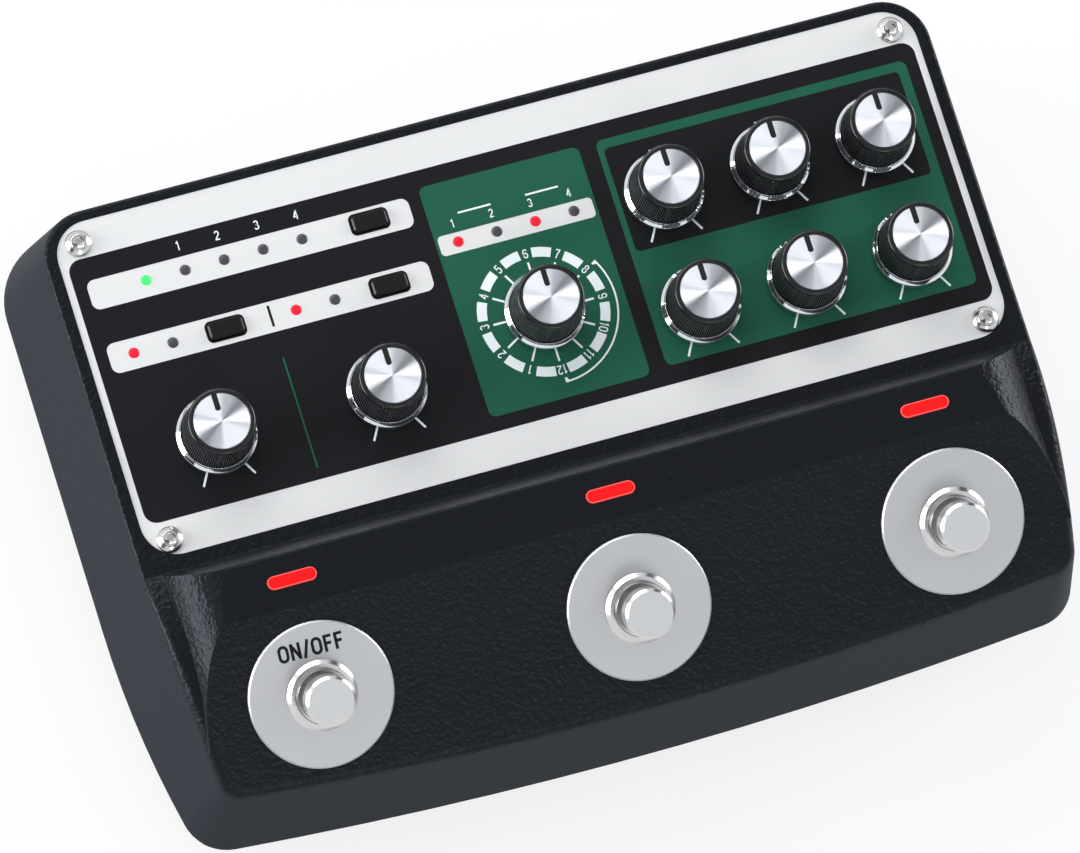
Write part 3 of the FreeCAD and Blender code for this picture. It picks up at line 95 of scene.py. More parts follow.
def leather_grained_abs(name, top_colour, wall_colour_painted_reflection):
    """Wrinkled skin that goes from the walls' finish and painted reflection to the top's where the surface
    faces upward.
    """
    material, tree = new_material(name)
    place = add(tree, "ShaderNodeTexCoord").outputs["Object"]
    wrinkle = GRAIN_WIDTH * MM
    sway = add(tree, "ShaderNodeTexNoise", {"Vector": place, "Scale": 0.4 / wrinkle, "Detail": 2.0})
    push = add(tree, "ShaderNodeVectorMath", {0: sway.outputs["Color"], 1: (0.5, 0.5, 0.5)},
               operation="SUBTRACT")
    shift = add(tree, "ShaderNodeVectorMath", {0: push.outputs[0], "Scale": 2.4 * wrinkle},
                operation="SCALE")
    bent = add(tree, "ShaderNodeVectorMath", {0: place, 1: shift.outputs[0]}, operation="ADD")
    cells = add(tree, "ShaderNodeTexVoronoi", {"Vector": bent.outputs[0], "Scale": 1 / wrinkle,
                                               "Smoothness": 0.6}, feature="SMOOTH_F1")
    fine = add(tree, "ShaderNodeTexNoise", {"Vector": place, "Scale": 1.6 / wrinkle, "Detail": 3.0})
    rise = add(tree, "ShaderNodeMath", {0: fine.outputs["Fac"], 1: cells.outputs["Distance"]},
               operation="SUBTRACT")
    normal = add(tree, "ShaderNodeTexCoord").outputs["Normal"]
    upward = add(tree, "ShaderNodeSeparateXYZ", {0: normal}).outputs["Z"]
    flatness = add(tree, "ShaderNodeMapRange", {"Value": upward, "From Min": 0.22, "From Max": 0.5})
    bite = add(tree, "ShaderNodeMapRange", {
        "Value": flatness.outputs[0], "To Min": WALL_GRAIN, "To Max": 1.0})
    grain = add(tree, "ShaderNodeBump", {"Height": rise.outputs[0], "Distance": GRAIN_DEPTH * MM,
                                         "Strength": bite.outputs[0]})
    # The walls' tone, bluer than the top's, is a painted reflection; the top keeps the black's own colour.
    tone_with_painted_reflection = add(tree, "ShaderNodeMix", {"Factor": flatness.outputs[0], "A": linear(wall_colour_painted_reflection),
                                       "B": linear(top_colour)}, data_type="RGBA")
    dulled = add(tree, "ShaderNodeMapRange", {
        "Value": flatness.outputs[0], "To Min": WALL_ROUGHNESS, "To Max": TOP_ROUGHNESS})
    shader = add(tree, "ShaderNodeBsdfPrincipled", {
        "Base Color": tone_with_painted_reflection.outputs["Result"], "Roughness": dulled.outputs[0], "IOR": 1.46,
        "Specular IOR Level": 0.23, "Specular Tint": linear("cdd8e6"), "Normal": grain.outputs[0]})
    add(tree, "ShaderNodeOutputMaterial", {"Surface": shader.outputs[0]})
    return material


# The second colour is the walls' painted reflection.
dress(leather_grained_abs("leather_grained_abs_lower", "15181d", "141920"), "bottom_case")


def cloudy(name, colour, roughness, patch, detail, shading):
    """Material whose roughness drifts between two values in soft patches, their width in millimetres."""
    material, tree = new_material(name)
    place = add(tree, "ShaderNodeTexCoord").outputs["Object"]
    patches = add(tree, "ShaderNodeTexNoise", {"Vector": place, "Scale": 1 / (patch * MM), "Detail": detail})
    shade = add(tree, "ShaderNodeMapRange", {
        "Value": patches.outputs["Fac"], "To Min": roughness[0], "To Max": roughness[1]})
    shader = add(tree, "ShaderNodeBsdfPrincipled", {
        "Base Color": linear(colour), "Roughness": shade.outputs[0], **shading})
    add(tree, "ShaderNodeOutputMaterial", {"Surface": shader.outputs[0]})
    return material


# Rubber: dull black that reflects hardly anything.
rubber = cloudy("black_rubber", "1b1b1c", roughness=(0.68, 0.86), patch=0.8, detail=4.0,
                shading={"IOR": 1.52})
dress(rubber, "rubber_feet")

# Main board
# A glass-epoxy circuit board on the bosses of the bottom case, held by four screws, with the moulded
# connector that carries the panel board's signals down to it.

# Solder mask over copper: glossy dark green with lighter tracks 1.3 mm apart.
TRACK_PITCH = 1.3
solder_mask, tree = new_material("green_solder_mask")
place = add(tree, "ShaderNodeTexCoord").outputs["Object"]
lanes = add(tree, "ShaderNodeTexBrick", {
    "Vector": place, "Scale": 1 / (TRACK_PITCH * MM), "Mortar Size": 0.12, "Mortar Smooth": 0.1,
    "Brick Width": 9.0, "Row Height": 1.0, "Color1": linear("0f4a2c"), "Color2": linear("0d4228"),
    "Mortar": linear("1f6a41")}, offset=0.37)
shader = add(tree, "ShaderNodeBsdfPrincipled", {
    "Base Color": lanes.outputs["Color"], "Roughness": 0.32, "IOR": 1.55})
add(tree, "ShaderNodeOutputMaterial", {"Surface": shader.outputs[0]})
dress(solder_mask, "main_board", "panel_board")

# Bright zinc on steel: a cool grey metal with small streaks from the plating bath.
METAL = {"Metallic": 1.0}
zinc = cloudy("zinc_plated_steel", "d2d4d6", roughness=(0.2, 0.36), patch=0.6, detail=3.0, shading=METAL)
dress(zinc, "board_screws", "case_screws")


def grained(name, colour, grain, depth, detail, shading):
    """Material with a fine even grain, whose width and depth are in millimetres."""
    material, tree = new_material(name)
    place = add(tree, "ShaderNodeTexCoord").outputs["Object"]
    grains = add(tree, "ShaderNodeTexNoise", {"Vector": place, "Scale": 1 / (grain * MM), "Detail": detail})
    skin = add(tree, "ShaderNodeBump", {"Height": grains.outputs["Fac"], "Distance": depth * MM})
    shader = add(tree, "ShaderNodeBsdfPrincipled", {
        "Base Color": linear(colour), "Normal": skin.outputs[0], **shading})
    add(tree, "ShaderNodeOutputMaterial", {"Surface": shader.outputs[0]})
    return material


# Glass-filled nylon, moulded: plain black with the faint mottle of the glass fibres.
nylon = grained("black_moulded_nylon", "1c1c1e", grain=0.5, depth=0.02, detail=3.0,
                shading={"Roughness": 0.38, "IOR": 1.5})
dress(nylon, "board_connector")

# Jacks
# Five phone jacks, two small data jacks, a power inlet and a folded USB port are soldered to the main
# board. Their barrels pass through the rear panel, and nickel-plated nuts clamp the phone jacks to it.

dress(nylon, "phone_jacks", "midi_jacks", "power_inlet")

# Tin-plated sheet: a dull bright metal, as on every USB shell.
tin = cloudy("tin_plated_sheet", "c8c9c8", roughness=(0.3, 0.45), patch=1.2, detail=2.0, shading=METAL)
dress(tin, "usb_port")

# Nickel plate, polished: a faintly warm mirror with a slight softness from handling.
nickel = cloudy("polished_nickel", "d2d1cf", roughness=(0.16, 0.26), patch=2.5, detail=3.0, shading=METAL)
dress(nickel, "jack_nuts")

# Upper housing and rear panel
# The upper half of the housing is one moulding: the walls, the rim round the faceplate and the raised
# pedal deck. A flat moulded panel closes its rear opening behind the jacks.

# The second colour is the walls' painted reflection.
dress(leather_grained_abs("leather_grained_abs_upper", "131417", "151a21"), "top_housing")

# Spark-eroded ABS: an even fine matt grain of about 0.3 mm, without the leather wrinkles.
eroded = grained("spark_eroded_abs", "1d2025", grain=0.3, depth=0.03, detail=2.0,
                 shading={"Roughness": 0.55, "IOR": 1.45})
dress(eroded, "rear_panel")

# Panel board's controls
# Eight potentiometers, the mode switch and three key switches stand on the panel board. Their bushings
# pass through the faceplate, where thin nuts below the knobs clamp them.

# Passivated steel cans: plain grey metal with a soft rolled finish.
steel_can = cloudy("passivated_steel", "b4b5b4", roughness=(0.34, 0.5), patch=0.7, detail=3.0, shading=METAL)
dress(steel_can, "potentiometers", "mode_switch")
dress(nickel, "control_nuts")
dress(nylon, "key_switches")

# Faceplate
# A 1.2 mm aluminium sheet, lacquered white-silver, that lies in the housing's recess under four screws.
# Black ink covers it but for a strip at the top and at the bottom and windows round the keys and lamps.

# White-silver lacquer on aluminium: nearly white, satin, with a soft metallic drift in the reflections.
plate_lacquer = grained("white_silver_lacquer", "e7e7e6", grain=0.35, depth=0.004, detail=2.0,
                        shading={"Metallic": 0.3, "Roughness": 0.36})
dress(plate_lacquer, "faceplate")

plate_low, plate_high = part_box("faceplate")
PLATE_TOP = plate_high.z / MM
PLATE_X = (plate_low.x + plate_high.x) / 2 / MM
PLATE_Y = (plate_low.y + plate_high.y) / 2 / MM
CORNER_STEPS = 8
CIRCLE_STEPS = 64
SECTOR_STEP = 3

# Points of a mesh that are nearer than this count as one.
FUSED = 0.0005


def rounded(left, front, right, rear, radius):
    """Outline of a rectangle with round corners."""
    corners = ((right - radius, rear - radius, 0), (left + radius, rear - radius, 90),
               (left + radius, front + radius, 180), (right - radius, front + radius, 270))
    points = []
    for x, y, start in corners:
        for step in range(CORNER_STEPS + 1):
            angle = math.radians(start + 90 * step / CORNER_STEPS)
            points.append((x + radius * math.cos(angle), y + radius * math.sin(angle)))
    return points


def circle(x, y, radius):
    """Outline of a circle."""
    turns = [math.tau * step / CIRCLE_STEPS for step in range(CIRCLE_STEPS)]
    return [(x + radius * math.cos(turn), y + radius * math.sin(turn)) for turn in turns]


def at_clock(x, y, radius, clock):
    """Point at a distance from x, y at a clock angle in degrees."""
    angle = math.radians(clock)
    return x + radius * math.sin(angle), y + radius * math.cos(angle)


def sector(x, y, inner, outer, start, end):
    """Outline of a ring's sector between two clock angles in degrees."""
    steps = max(2, round((end - start) / SECTOR_STEP))
    clocks = [start + (end - start) * step / steps for step in range(steps + 1)]
    return ([at_clock(x, y, outer, clock) for clock in clocks]
            + [at_clock(x, y, inner, clock) for clock in reversed(clocks)])


def tick(x, y, inner, outer, clock, width):
    """Outline of a straight line that points away from x, y at a clock angle in degrees."""
    angle = math.radians(clock)
    along = Vector((math.sin(angle), math.cos(angle)))
    across = Vector((math.cos(angle), -math.sin(angle)))
    centre = Vector((x, y))
    corners = ((inner, -1), (inner, 1), (outer, 1), (outer, -1))
    return [tuple(centre + along * radius + across * side * width / 2) for radius, side in corners]


def sheet_mesh(outlines, low, high):
    """Mesh between two heights inside the outlines, where an outline within another is a hole."""
    curve = bpy.data.curves.new("outlines", "CURVE")
    curve.dimensions = "2D"
    curve.fill_mode = "BOTH"
    for outline in outlines:
        spline = curve.splines.new("POLY")
        spline.points.add(len(outline) - 1)
        spline.use_cyclic_u = True
        for point, (x, y) in zip(spline.points, outline):
            point.co = (x, y, 0, 1)
    curve.extrude = 1
    holder = bpy.data.objects.new("holder", curve)
    bpy.context.scene.collection.objects.link(holder)
    mesh = bpy.data.meshes.new_from_object(holder.evaluated_get(bpy.context.evaluated_depsgraph_get()))
    bpy.data.objects.remove(holder)
    middle = Matrix.Translation((0, 0, (low + high) / 2))
    mesh.transform(middle @ Matrix.Diagonal((1, 1, (high - low) / 2, 1)))
    return mesh


ARC_STEPS = 12


def arc(x, y, half_width, half_height, start, end):
    """Points of an ellipse's arc between two angles in degrees, measured from the right."""
    turns = [math.radians(start + (end - start) * step / ARC_STEPS) for step in range(ARC_STEPS + 1)]
    return [(x + half_width * math.cos(turn), y + half_height * math.sin(turn)) for turn in turns]


# Each letter as strokes of the pen's middle, one high and centred. A stroke that ends where it starts
# is a ring. The narrow letters and the wide ones take a step of their own along the line.
ZERO = arc(0, 0.2, 0.2, 0.235, 180, 0) + arc(0, -0.2, 0.2, 0.235, 0, -180)
ZERO.append(ZERO[0])
SIX = [arc(0, -0.18, 0.2, 0.255, 180, -180), [(-0.2, -0.18)] + arc(0, 0.18, 0.2, 0.255, 180, 25)]
LETTERS = {
    "0": [ZERO],
    "1": [[(-0.12, 0.25), (0.05, 0.41), (0.05, -0.5)]],
    "2": [arc(0, 0.2, 0.19, 0.235, 165, -35) + [(-0.19, -0.38), (-0.19, -0.435), (0.22, -0.435)]],
    "3": [arc(0, 0.22, 0.18, 0.215, 160, -90) + [(-0.07, 0.005)],
          [(-0.07, 0.02)] + arc(0, -0.205, 0.2, 0.23, 90, -160)],
    "4": [[(0.1, -0.5), (0.1, 0.48)], [(0.08, 0.44), (-0.2, -0.2), (0.24, -0.2)]],
    "5": [[(0.18, 0.435), (-0.14, 0.435), (-0.17, 0.0)], arc(0, -0.15, 0.2, 0.285, 148, -155)],
    "6": SIX,
    "7": [[(-0.2, 0.435), (0.19, 0.435), (0.19, 0.38), (0.02, -0.05), (-0.04, -0.5)]],
    "8": [arc(0, 0.225, 0.17, 0.21, 90, -270), arc(0, -0.2, 0.2, 0.235, 90, -270)],
    "9": [[(-x, -y) for x, y in stroke] for stroke in SIX],
    "O": [arc(0, 0.18, 0.24, 0.255, 180, 0) + arc(0, -0.18, 0.24, 0.255, 0, -180) + [(-0.24, 0.18)]],
    "N": [[(-0.22, -0.5), (-0.22, 0.5)], [(0.22, -0.5), (0.22, 0.5)], [(-0.22, 0.42), (0.22, -0.42)]],
    "F": [[(-0.17, -0.5), (-0.17, 0.42), (0.24, 0.42)], [(-0.17, 0.0), (0.19, 0.0)]],
    "/": [[(-0.15, -0.54), (0.15, 0.54)]]}
LETTER_STEP = 0.65
OTHER_STEPS = {"1": 0.46, "/": 0.54, "O": 0.74, "N": 0.74}
CLOSED_GAP = 1e-6
SHARPEST_MITRE = 0.8


def pen_stroke(form, points, pen):
    """Add a closed strip of a pen's width along the points, from z -1 to 1."""
    ring = math.dist(points[0], points[-1]) < CLOSED_GAP
    points = [Vector(point) for point in (points[:-1] if ring else points)]
    count = len(points)
    corners = []
    for step, point in enumerate(points):
        into = point - points[step - 1] if ring or step else points[1] - points[0]
        onward = points[(step + 1) % count] - point if ring or step < count - 1 else into
        across = Vector((-into.y, into.x)).normalized() + Vector((-onward.y, onward.x)).normalized()
        across *= pen / max(across.length_squared, SHARPEST_MITRE)
        corners.append([form.verts.new((*(point + side * across), level))
                        for side, level in ((1, 1), (-1, 1), (-1, -1), (1, -1))])
    for step in range(count if ring else count - 1):
        here, there = corners[step], corners[(step + 1) % count]
        for side in range(4):
            following = (side + 1) % 4
            form.faces.new((here[side], here[following], there[following], there[side]))
    if not ring:
        form.faces.new(corners[0])
        form.faces.new(corners[-1])


def type_mesh(text, height, x, y, clock, low, high, pen):
    """Narrow type of a given height drawn with a pen, centred at x, y and turned clockwise."""
    form = bmesh.new()
    steps = [OTHER_STEPS.get(letter, LETTER_STEP) for letter in text]
    along = -sum(steps) / 2
    for letter, step in zip(text, steps):
        for stroke in LETTERS[letter]:
            pen_stroke(form, [(along + step / 2 + point[0], point[1]) for point in stroke], pen)
        along += step
    mesh = bpy.data.meshes.new("type")
    form.to_mesh(mesh)
    form.free()
    place = Matrix.Translation((x, y, (low + high) / 2)) @ Matrix.Rotation(-math.radians(clock), 4, "Z")
    mesh.transform(place @ Matrix.Diagonal((height, height, (high - low) / 2, 1)))
    return mesh


def piece(name, meshes, material, body, matrix=Matrix.Identity(4), smooth_angle=0):
    """One object from meshes in millimetres, moved by the matrix, riding on a body."""
    joined = bmesh.new()
    for mesh in meshes:
        joined.from_mesh(mesh)
    bmesh.ops.remove_doubles(joined, verts=joined.verts, dist=FUSED)
    bmesh.ops.recalc_face_normals(joined, faces=joined.faces)
    whole = bpy.data.meshes.new(name)
    joined.to_mesh(whole)
    joined.free()
    whole.transform(Matrix.Scale(MM, 4) @ matrix)
    for face in whole.polygons:
        face.use_smooth = smooth_angle > 0
    if smooth_angle:
        whole.set_sharp_from_angle(angle=math.radians(smooth_angle))
    whole.materials.append(material)
    item = bpy.data.objects.new(name, whole)
    bpy.context.scene.collection.objects.link(item)
    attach(item, body)
    return item


def from_plate(node):
    """Middle of a node in millimetres, measured from the faceplate's middle."""
    low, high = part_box(node)
    return (low.x + high.x) / 2 / MM - PLATE_X, (low.y + high.y) / 2 / MM - PLATE_Y


ON_PLATE = Matrix.Translation((PLATE_X, PLATE_Y, PLATE_TOP))
KNOB_NAMES = ("bass", "treble", "reverb", "rate", "intensity", "echo", "saturation", "wow", "mode")
KNOBS = {name: from_plate("knob_%s_ring" % name) for name in KNOB_NAMES}
DIAL = KNOBS["mode"]

# Each ink leaves a round hole for the nut of a control.
NUT_WAY = 5.6

# Screen-printed ink: a smooth even film, satin, a few hundredths of a millimetre thick. Each film is
# drawn 0.04 or 0.05 mm thick, partly sunk into what lies below it, so that its edge shows.
BLACK_FILM = (-0.02, 0.03)
COLOUR_FILM = (0.01, 0.05)
WHITE_FILM = (0.02, 0.07)


def screen_ink(name, colour, roughness):
    """Ink whose gloss varies a little with the film's thickness."""
    return cloudy(name, colour, roughness=(roughness - 0.04, roughness + 0.04), patch=0.6, detail=3.0,
                  shading={"IOR": 1.45, "Specular IOR Level": 0.16})


black_ink = screen_ink("black_screen_ink", "17171a", 0.4)
green_ink = screen_ink("green_screen_ink", "1e5844", 0.42)
white_ink = screen_ink("white_screen_ink", "e9f1f2", 0.5)

# Fields and windows: left, front, right and rear edge from the plate's middle, and corner radius.
INKED_FIELD = rounded(-86.9, -27.3, 86.9, 27.1, 2.6)
UPPER_WINDOW = rounded(-84.4, 16.4, -19.0, 22.5, 1.6)
LOWER_WINDOW = rounded(-84.4, 3.2, -19.0, 9.35, 1.6)
HEAD_WINDOW = rounded(-15.8, 9.0, 15.9, 13.15, 0.9)
ROW_DIVIDER = rounded(-51.9, 4.3, -51.4, 8.6, 0.1)
MODE_FIELD = rounded(-16.4, -24.4, 16.5, 23.6, 1.5)
ECHO_FIELD = rounded(20.0, -23.6, 84.4, 23.6, 1.5)
ECHO_WINDOW = rounded(21.2, 0.0, 82.5, 21.7, 1.0)
KNOB_DIVIDER = rounded(-51.95, -25.0, -51.6, -2.2, 0.1)
knob_ways = {name: circle(x, y, NUT_WAY) for name, (x, y) in KNOBS.items()}

# A thin black line, a painted shadow of the gap, runs round each key's hole.
KEY_HALF_WIDTH, KEY_HALF_DEPTH, KEY_CORNER, KEY_GAP, KEY_SHADOW_LINE = 3.5, 1.7, 0.7, 0.15, 0.35
key_shadow_lines = []
for key in ("memory_key", "tape_key", "input_key"):
    x, y = from_plate(key)
    for grow in (KEY_GAP, KEY_GAP + KEY_SHADOW_LINE):
        width, depth = KEY_HALF_WIDTH + grow, KEY_HALF_DEPTH + grow
        key_shadow_lines.append(rounded(x - width, y - depth, x + width, y + depth, KEY_CORNER + grow))
black_parts = [sheet_mesh([INKED_FIELD, UPPER_WINDOW, LOWER_WINDOW, HEAD_WINDOW, *knob_ways.values()],
                          *BLACK_FILM),
               sheet_mesh([ROW_DIVIDER], *BLACK_FILM), sheet_mesh(key_shadow_lines, *BLACK_FILM)]
piece("black_print", black_parts, black_ink, "chassis", ON_PLATE)

lower_knob_ways = [knob_ways[name] for name in ("rate", "intensity", "echo")]
green_parts = [sheet_mesh([MODE_FIELD, HEAD_WINDOW, knob_ways["mode"]], *COLOUR_FILM),
               sheet_mesh([ECHO_FIELD, ECHO_WINDOW] + lower_knob_ways, *COLOUR_FILM),
               sheet_mesh([KNOB_DIVIDER], *COLOUR_FILM)]
piece("green_print", green_parts, green_ink, "chassis", ON_PLATE)

# The dial has its twelve numbers at every 30 degrees with a bar between neighbours. A bracket joins 8 to
# 12, and ticks at 150 degrees on each side mark the ends of a pot knob's turn.
TICK_WIDTH, TICK_START, TICK_END, MIDDLE_TICK_END, DIAL_TICK_END = 0.42, 7.6, 10.5, 8.9, 10.3
END_MARK = 150
PLACES, SHOWN_PLACE = 12, 6
BAR_INNER, BAR_OUTER, BAR_HALF_TURN = 11.13, 13.09, 9
NUMBER_RADIUS, NUMBER_HEIGHT, NUMBER_PEN = 12.1, 1.9, 0.13
marks = []
for name, (x, y) in KNOBS.items():
    if name != "mode":
        marks += [tick(x, y, TICK_START, TICK_END, side * END_MARK, TICK_WIDTH) for side in (-1, 1)]
    if name in ("bass", "treble"):
        marks.append(tick(x, y, TICK_START, MIDDLE_TICK_END, 0, TICK_WIDTH))
numbers = []
for number in range(1, PLACES + 1):
    clock = 360 / PLACES * (number - SHOWN_PLACE)
    between = clock + 180 / PLACES
    marks.append(tick(*DIAL, TICK_START, DIAL_TICK_END, clock, TICK_WIDTH))
    marks.append(sector(*DIAL, BAR_INNER, BAR_OUTER, between - BAR_HALF_TURN, between + BAR_HALF_TURN))
    numbers.append(type_mesh(str(number), NUMBER_HEIGHT, *at_clock(*DIAL, NUMBER_RADIUS, clock), clock,
                             *WHITE_FILM, NUMBER_PEN))

BRACKET_START, BRACKET_END, BRACKET_FOOT_TURN = 60, 180, 1.5
BRACKET_FOOT, BRACKET_INNER, BRACKET_OUTER = 13.75, 14.45, 14.8
bracket = sector(*DIAL, BRACKET_INNER, BRACKET_OUTER, BRACKET_START, BRACKET_END)
half = len(bracket) // 2
end_foot = [at_clock(*DIAL, BRACKET_FOOT, BRACKET_END - turn) for turn in (0, BRACKET_FOOT_TURN)]
start_foot = [at_clock(*DIAL, BRACKET_FOOT, BRACKET_START + turn) for turn in (BRACKET_FOOT_TURN, 0)]
marks.append(bracket[:half] + end_foot + bracket[half + 1:-1] + start_foot)

# Two lines stand over the head of the green field, and numbers over two rows of lamps.
OVERLINE_LOW, OVERLINE_HIGH, OVERLINE_CORNER = 16.62, 16.98, 0.05
marks += [rounded(left, OVERLINE_LOW, right, OVERLINE_HIGH, OVERLINE_CORNER)
          for left, right in ((-10.3, -3.55), (3.55, 10.3))]
NUMBER_ROWS = ((1.75, -11.95, 7.95, 15.05), (1.9, -65.0, 7.98, 24.75))  # height, first x, pitch, y
for index in range(4):
    for height, start, pitch, y in NUMBER_ROWS:
        numbers.append(type_mesh(str(index + 1), height, start + pitch * index, y, 0, *WHITE_FILM,
                                 NUMBER_PEN))
piece("white_print", [sheet_mesh(marks, *WHITE_FILM)] + numbers, white_ink, "chassis", ON_PLATE)

# Plate screws
# Four button-head screws with hexagon sockets hold the faceplate to columns of the upper housing. They are
# steel with a bright nickel plate.

screw_low, screw_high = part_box("plate_screws")
SCREW_SEGMENTS = 48
HEAD_RADIUS, HEAD_HEIGHT, SHANK_RADIUS, SOCKET_RADIUS = 2.7, 1.5, 1.5, 1.15
SHANK_END = (screw_low.z - screw_high.z) / MM + HEAD_HEIGHT
# Section of a screw as radius, height and how far its round is drawn to a hexagon.
SCREW_PROFILE = [
    (0, SHANK_END, 0), (SHANK_RADIUS, SHANK_END, 0), (SHANK_RADIUS, 0, 0), (HEAD_RADIUS, 0, 0),
    (HEAD_RADIUS, 0.22, 0), (2.66, 0.36, 0), (2.5, 0.62, 0), (2.2, 0.88, 0), (1.85, 1.08, 0), (1.7, 1.18, 0),
    (1.66, 1.32, 0), (1.6, 1.43, 0), (1.48, HEAD_HEIGHT, 0), (1.3, HEAD_HEIGHT, 0), (SOCKET_RADIUS, 1.42, 1),
    (SOCKET_RADIUS, 0.6, 1), (0.5, 0.45, 1), (0, 0.4, 1)]


def lofted(rings, second_slot=None, capped=False):
    """Mesh through rings of points; faces that second_slot(level, step) picks take the second material."""
    form = bmesh.new()
    rings = [[form.verts.new(point) for point in ring] for ring in rings]
    for level, (lower, upper) in enumerate(zip(rings, rings[1:])):
        for step in range(len(lower)):
            following = (step + 1) % len(lower)
            face = form.faces.new((lower[step], lower[following], upper[following], upper[step]))
            face.material_index = int(bool(second_slot) and second_slot(level, step))
    if capped:
        form.faces.new(rings[0])
        form.faces.new(rings[-1])
    bmesh.ops.remove_doubles(form, verts=form.verts, dist=FUSED)
    mesh = bpy.data.meshes.new("lofted")
    form.to_mesh(mesh)
    form.free()
    return mesh


def socket_ring(radius, height, share):
    """Ring of points that is round at a share of zero and a hexagon at one."""
    points = []
    for step in range(SCREW_SEGMENTS):
        angle = math.tau * step / SCREW_SEGMENTS
        flat = math.cos(math.pi / 6) / math.cos(angle % (math.pi / 3) - math.pi / 6)
        reach = radius * (1 - share + share * flat)
        points.append((reach * math.cos(angle), reach * math.sin(angle), height))
    return points


def moved(mesh, x, y, z=0):
    """Copy of a mesh at another place."""
    copy = mesh.copy()
    copy.transform(Matrix.Translation((x, y, z)))
    return copy


screw_form = lofted([socket_ring(*level) for level in SCREW_PROFILE])
SCREW_BASE = screw_high.z / MM - HEAD_HEIGHT
screw_meshes = [moved(screw_form, x, y, SCREW_BASE)
                for x in (screw_low.x / MM + HEAD_RADIUS, screw_high.x / MM - HEAD_RADIUS)
                for y in (screw_low.y / MM + HEAD_RADIUS, screw_high.y / MM - HEAD_RADIUS)]
screws = piece("faceplate_screws", screw_meshes, nickel, "chassis", smooth_angle=40)
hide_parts("plate_screws")

# Indicator lamps
# Thirteen 2 mm light-emitting diodes on the panel board show through the faceplate. The epoxy of each is
# tinted. One is lit green and four are lit red; the other eight look dark grey.

led_low, led_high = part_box("green_led")
LED_FOOT = led_low.z / MM - PLATE_TOP
LED_RISE = led_high.z / MM - PLATE_TOP
LED_FLANGE, LED_RADIUS, LED_SHOULDER = 1.45, 1.0, -3.0
LED_SEGMENTS = 32
LED_PROFILE = [
    (0, LED_FOOT), (LED_FLANGE, LED_FOOT), (LED_FLANGE, LED_SHOULDER), (LED_RADIUS, LED_SHOULDER),
    (LED_RADIUS, 0.02), (0.93 * LED_RADIUS, 0.12), (0.72 * LED_RADIUS, 0.2), (0.4 * LED_RADIUS, 0.24),
    (0, LED_RISE)]


def turned(profile, segments, depth_at=None, second_slot=None):
    """Mesh turned about Z from (radius, height); depth_at(level, angle) is how deep a flute cuts."""
    rings = []
    for level, (radius, height) in enumerate(profile):
        ring = []
        for step in range(segments):
            angle = math.tau * step / segments
            reach = radius - (depth_at(level, angle) if depth_at else 0)
            ring.append((reach * math.cos(angle), reach * math.sin(angle), height))
        rings.append(ring)
    return lofted(rings, second_slot)


# Tinted epoxy over a lit chip: an even glow with little shading of its own, paler at the edge as a painted
# highlight.
def glowing_epoxy(name, body_colour, glow, strength):
    """Lit material whose glow goes from the first colour, seen square on, to the second at its edge, a
    painted highlight.
    """
    material, tree = new_material(name)
    facing = add(tree, "ShaderNodeLayerWeight", {"Blend": 0.35})
    edge = add(tree, "ShaderNodeMix", {"Factor": facing.outputs["Facing"], "A": linear(glow[0]),
                                       "B": linear(glow[1])}, data_type="RGBA")
    shader = add(tree, "ShaderNodeBsdfPrincipled", {
        "Base Color": linear(body_colour), "Roughness": 0.25, "IOR": 1.5, "Specular IOR Level": 0.2,
        "Emission Color": edge.outputs["Result"], "Emission Strength": strength})
    add(tree, "ShaderNodeOutputMaterial", {"Surface": shader.outputs[0]})
    return material


dress(glowing_epoxy("lit_green_epoxy", "1c8a3c", ("4fe67c", "6cf096"), 0.9), "green_led")

# Each row of lamps: place of its first one, spacing, and a letter for a green, lit red or unlit one. The
# green one keeps its built form and is only passed over here.
LED_ROWS = ((-72.9, 19.7, 7.92, "guuuu"), (-79.4, 6.37, 7.9, "ru"), (-46.5, 6.37, 7.9, "ru"),
            (-11.9, 11.2, 7.92, "ruru"))
led_form = turned(LED_PROFILE, LED_SEGMENTS)
leds = {"r": [], "u": [], "g": []}
for start, y, spacing, row in LED_ROWS:
    for index, letter in enumerate(row):
        leds[letter].append((start + spacing * index, y))
lit = [moved(led_form, x, y) for x, y in leds["r"]]
unlit = [moved(led_form, x, y) for x, y in leds["u"]]
red_epoxy = glowing_epoxy("lit_red_epoxy", "8a1220", ("e31a34", "f03a4c"), 0.86)
lit_leds = piece("lit_red_leds", lit, red_epoxy, "chassis", ON_PLATE, smooth_angle=35)
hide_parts("red_leds")

# Tinted epoxy, unlit: a dark grey with a soft gloss.
smoked, tree = new_material("unlit_smoked_epoxy")
place = add(tree, "ShaderNodeTexCoord").outputs["Object"]
mottle = add(tree, "ShaderNodeTexNoise", {"Vector": place, "Scale": 1 / (0.5 * MM)})
tint = add(tree, "ShaderNodeMix", {"Factor": mottle.outputs["Fac"], "A": linear("38383b"),
                                   "B": linear("46464a")}, data_type="RGBA")
shader = add(tree, "ShaderNodeBsdfPrincipled", {
    "Base Color": tint.outputs["Result"], "Roughness": 0.3, "IOR": 1.5})
add(tree, "ShaderNodeOutputMaterial", {"Surface": shader.outputs[0]})
unlit_leds = piece("unlit_leds", unlit, smoked, "chassis", ON_PLATE, smooth_angle=35)
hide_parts("red_leds")

# Keys
# Three moulded keys stand in close-fitting holes of the faceplate, kept in by flanges below it, and press
# the switches on the panel board.

# Key ABS: satin black with a finer grain than the housing.
key_abs = grained("satin_black_abs", "111113", grain=0.4, depth=0.015, detail=2.0,
                  shading={"Roughness": 0.3, "IOR": 1.46, "Specular IOR Level": 0.28})
dress(key_abs, "memory_key", "tape_key", "input_key")

# Knobs
# Each knob is a gloss black moulding with a smooth rim, fine flutes down its side and a pointer bar that
# fills a slot in the spun aluminium cap. A bevelled chrome ring is pressed on round its foot.

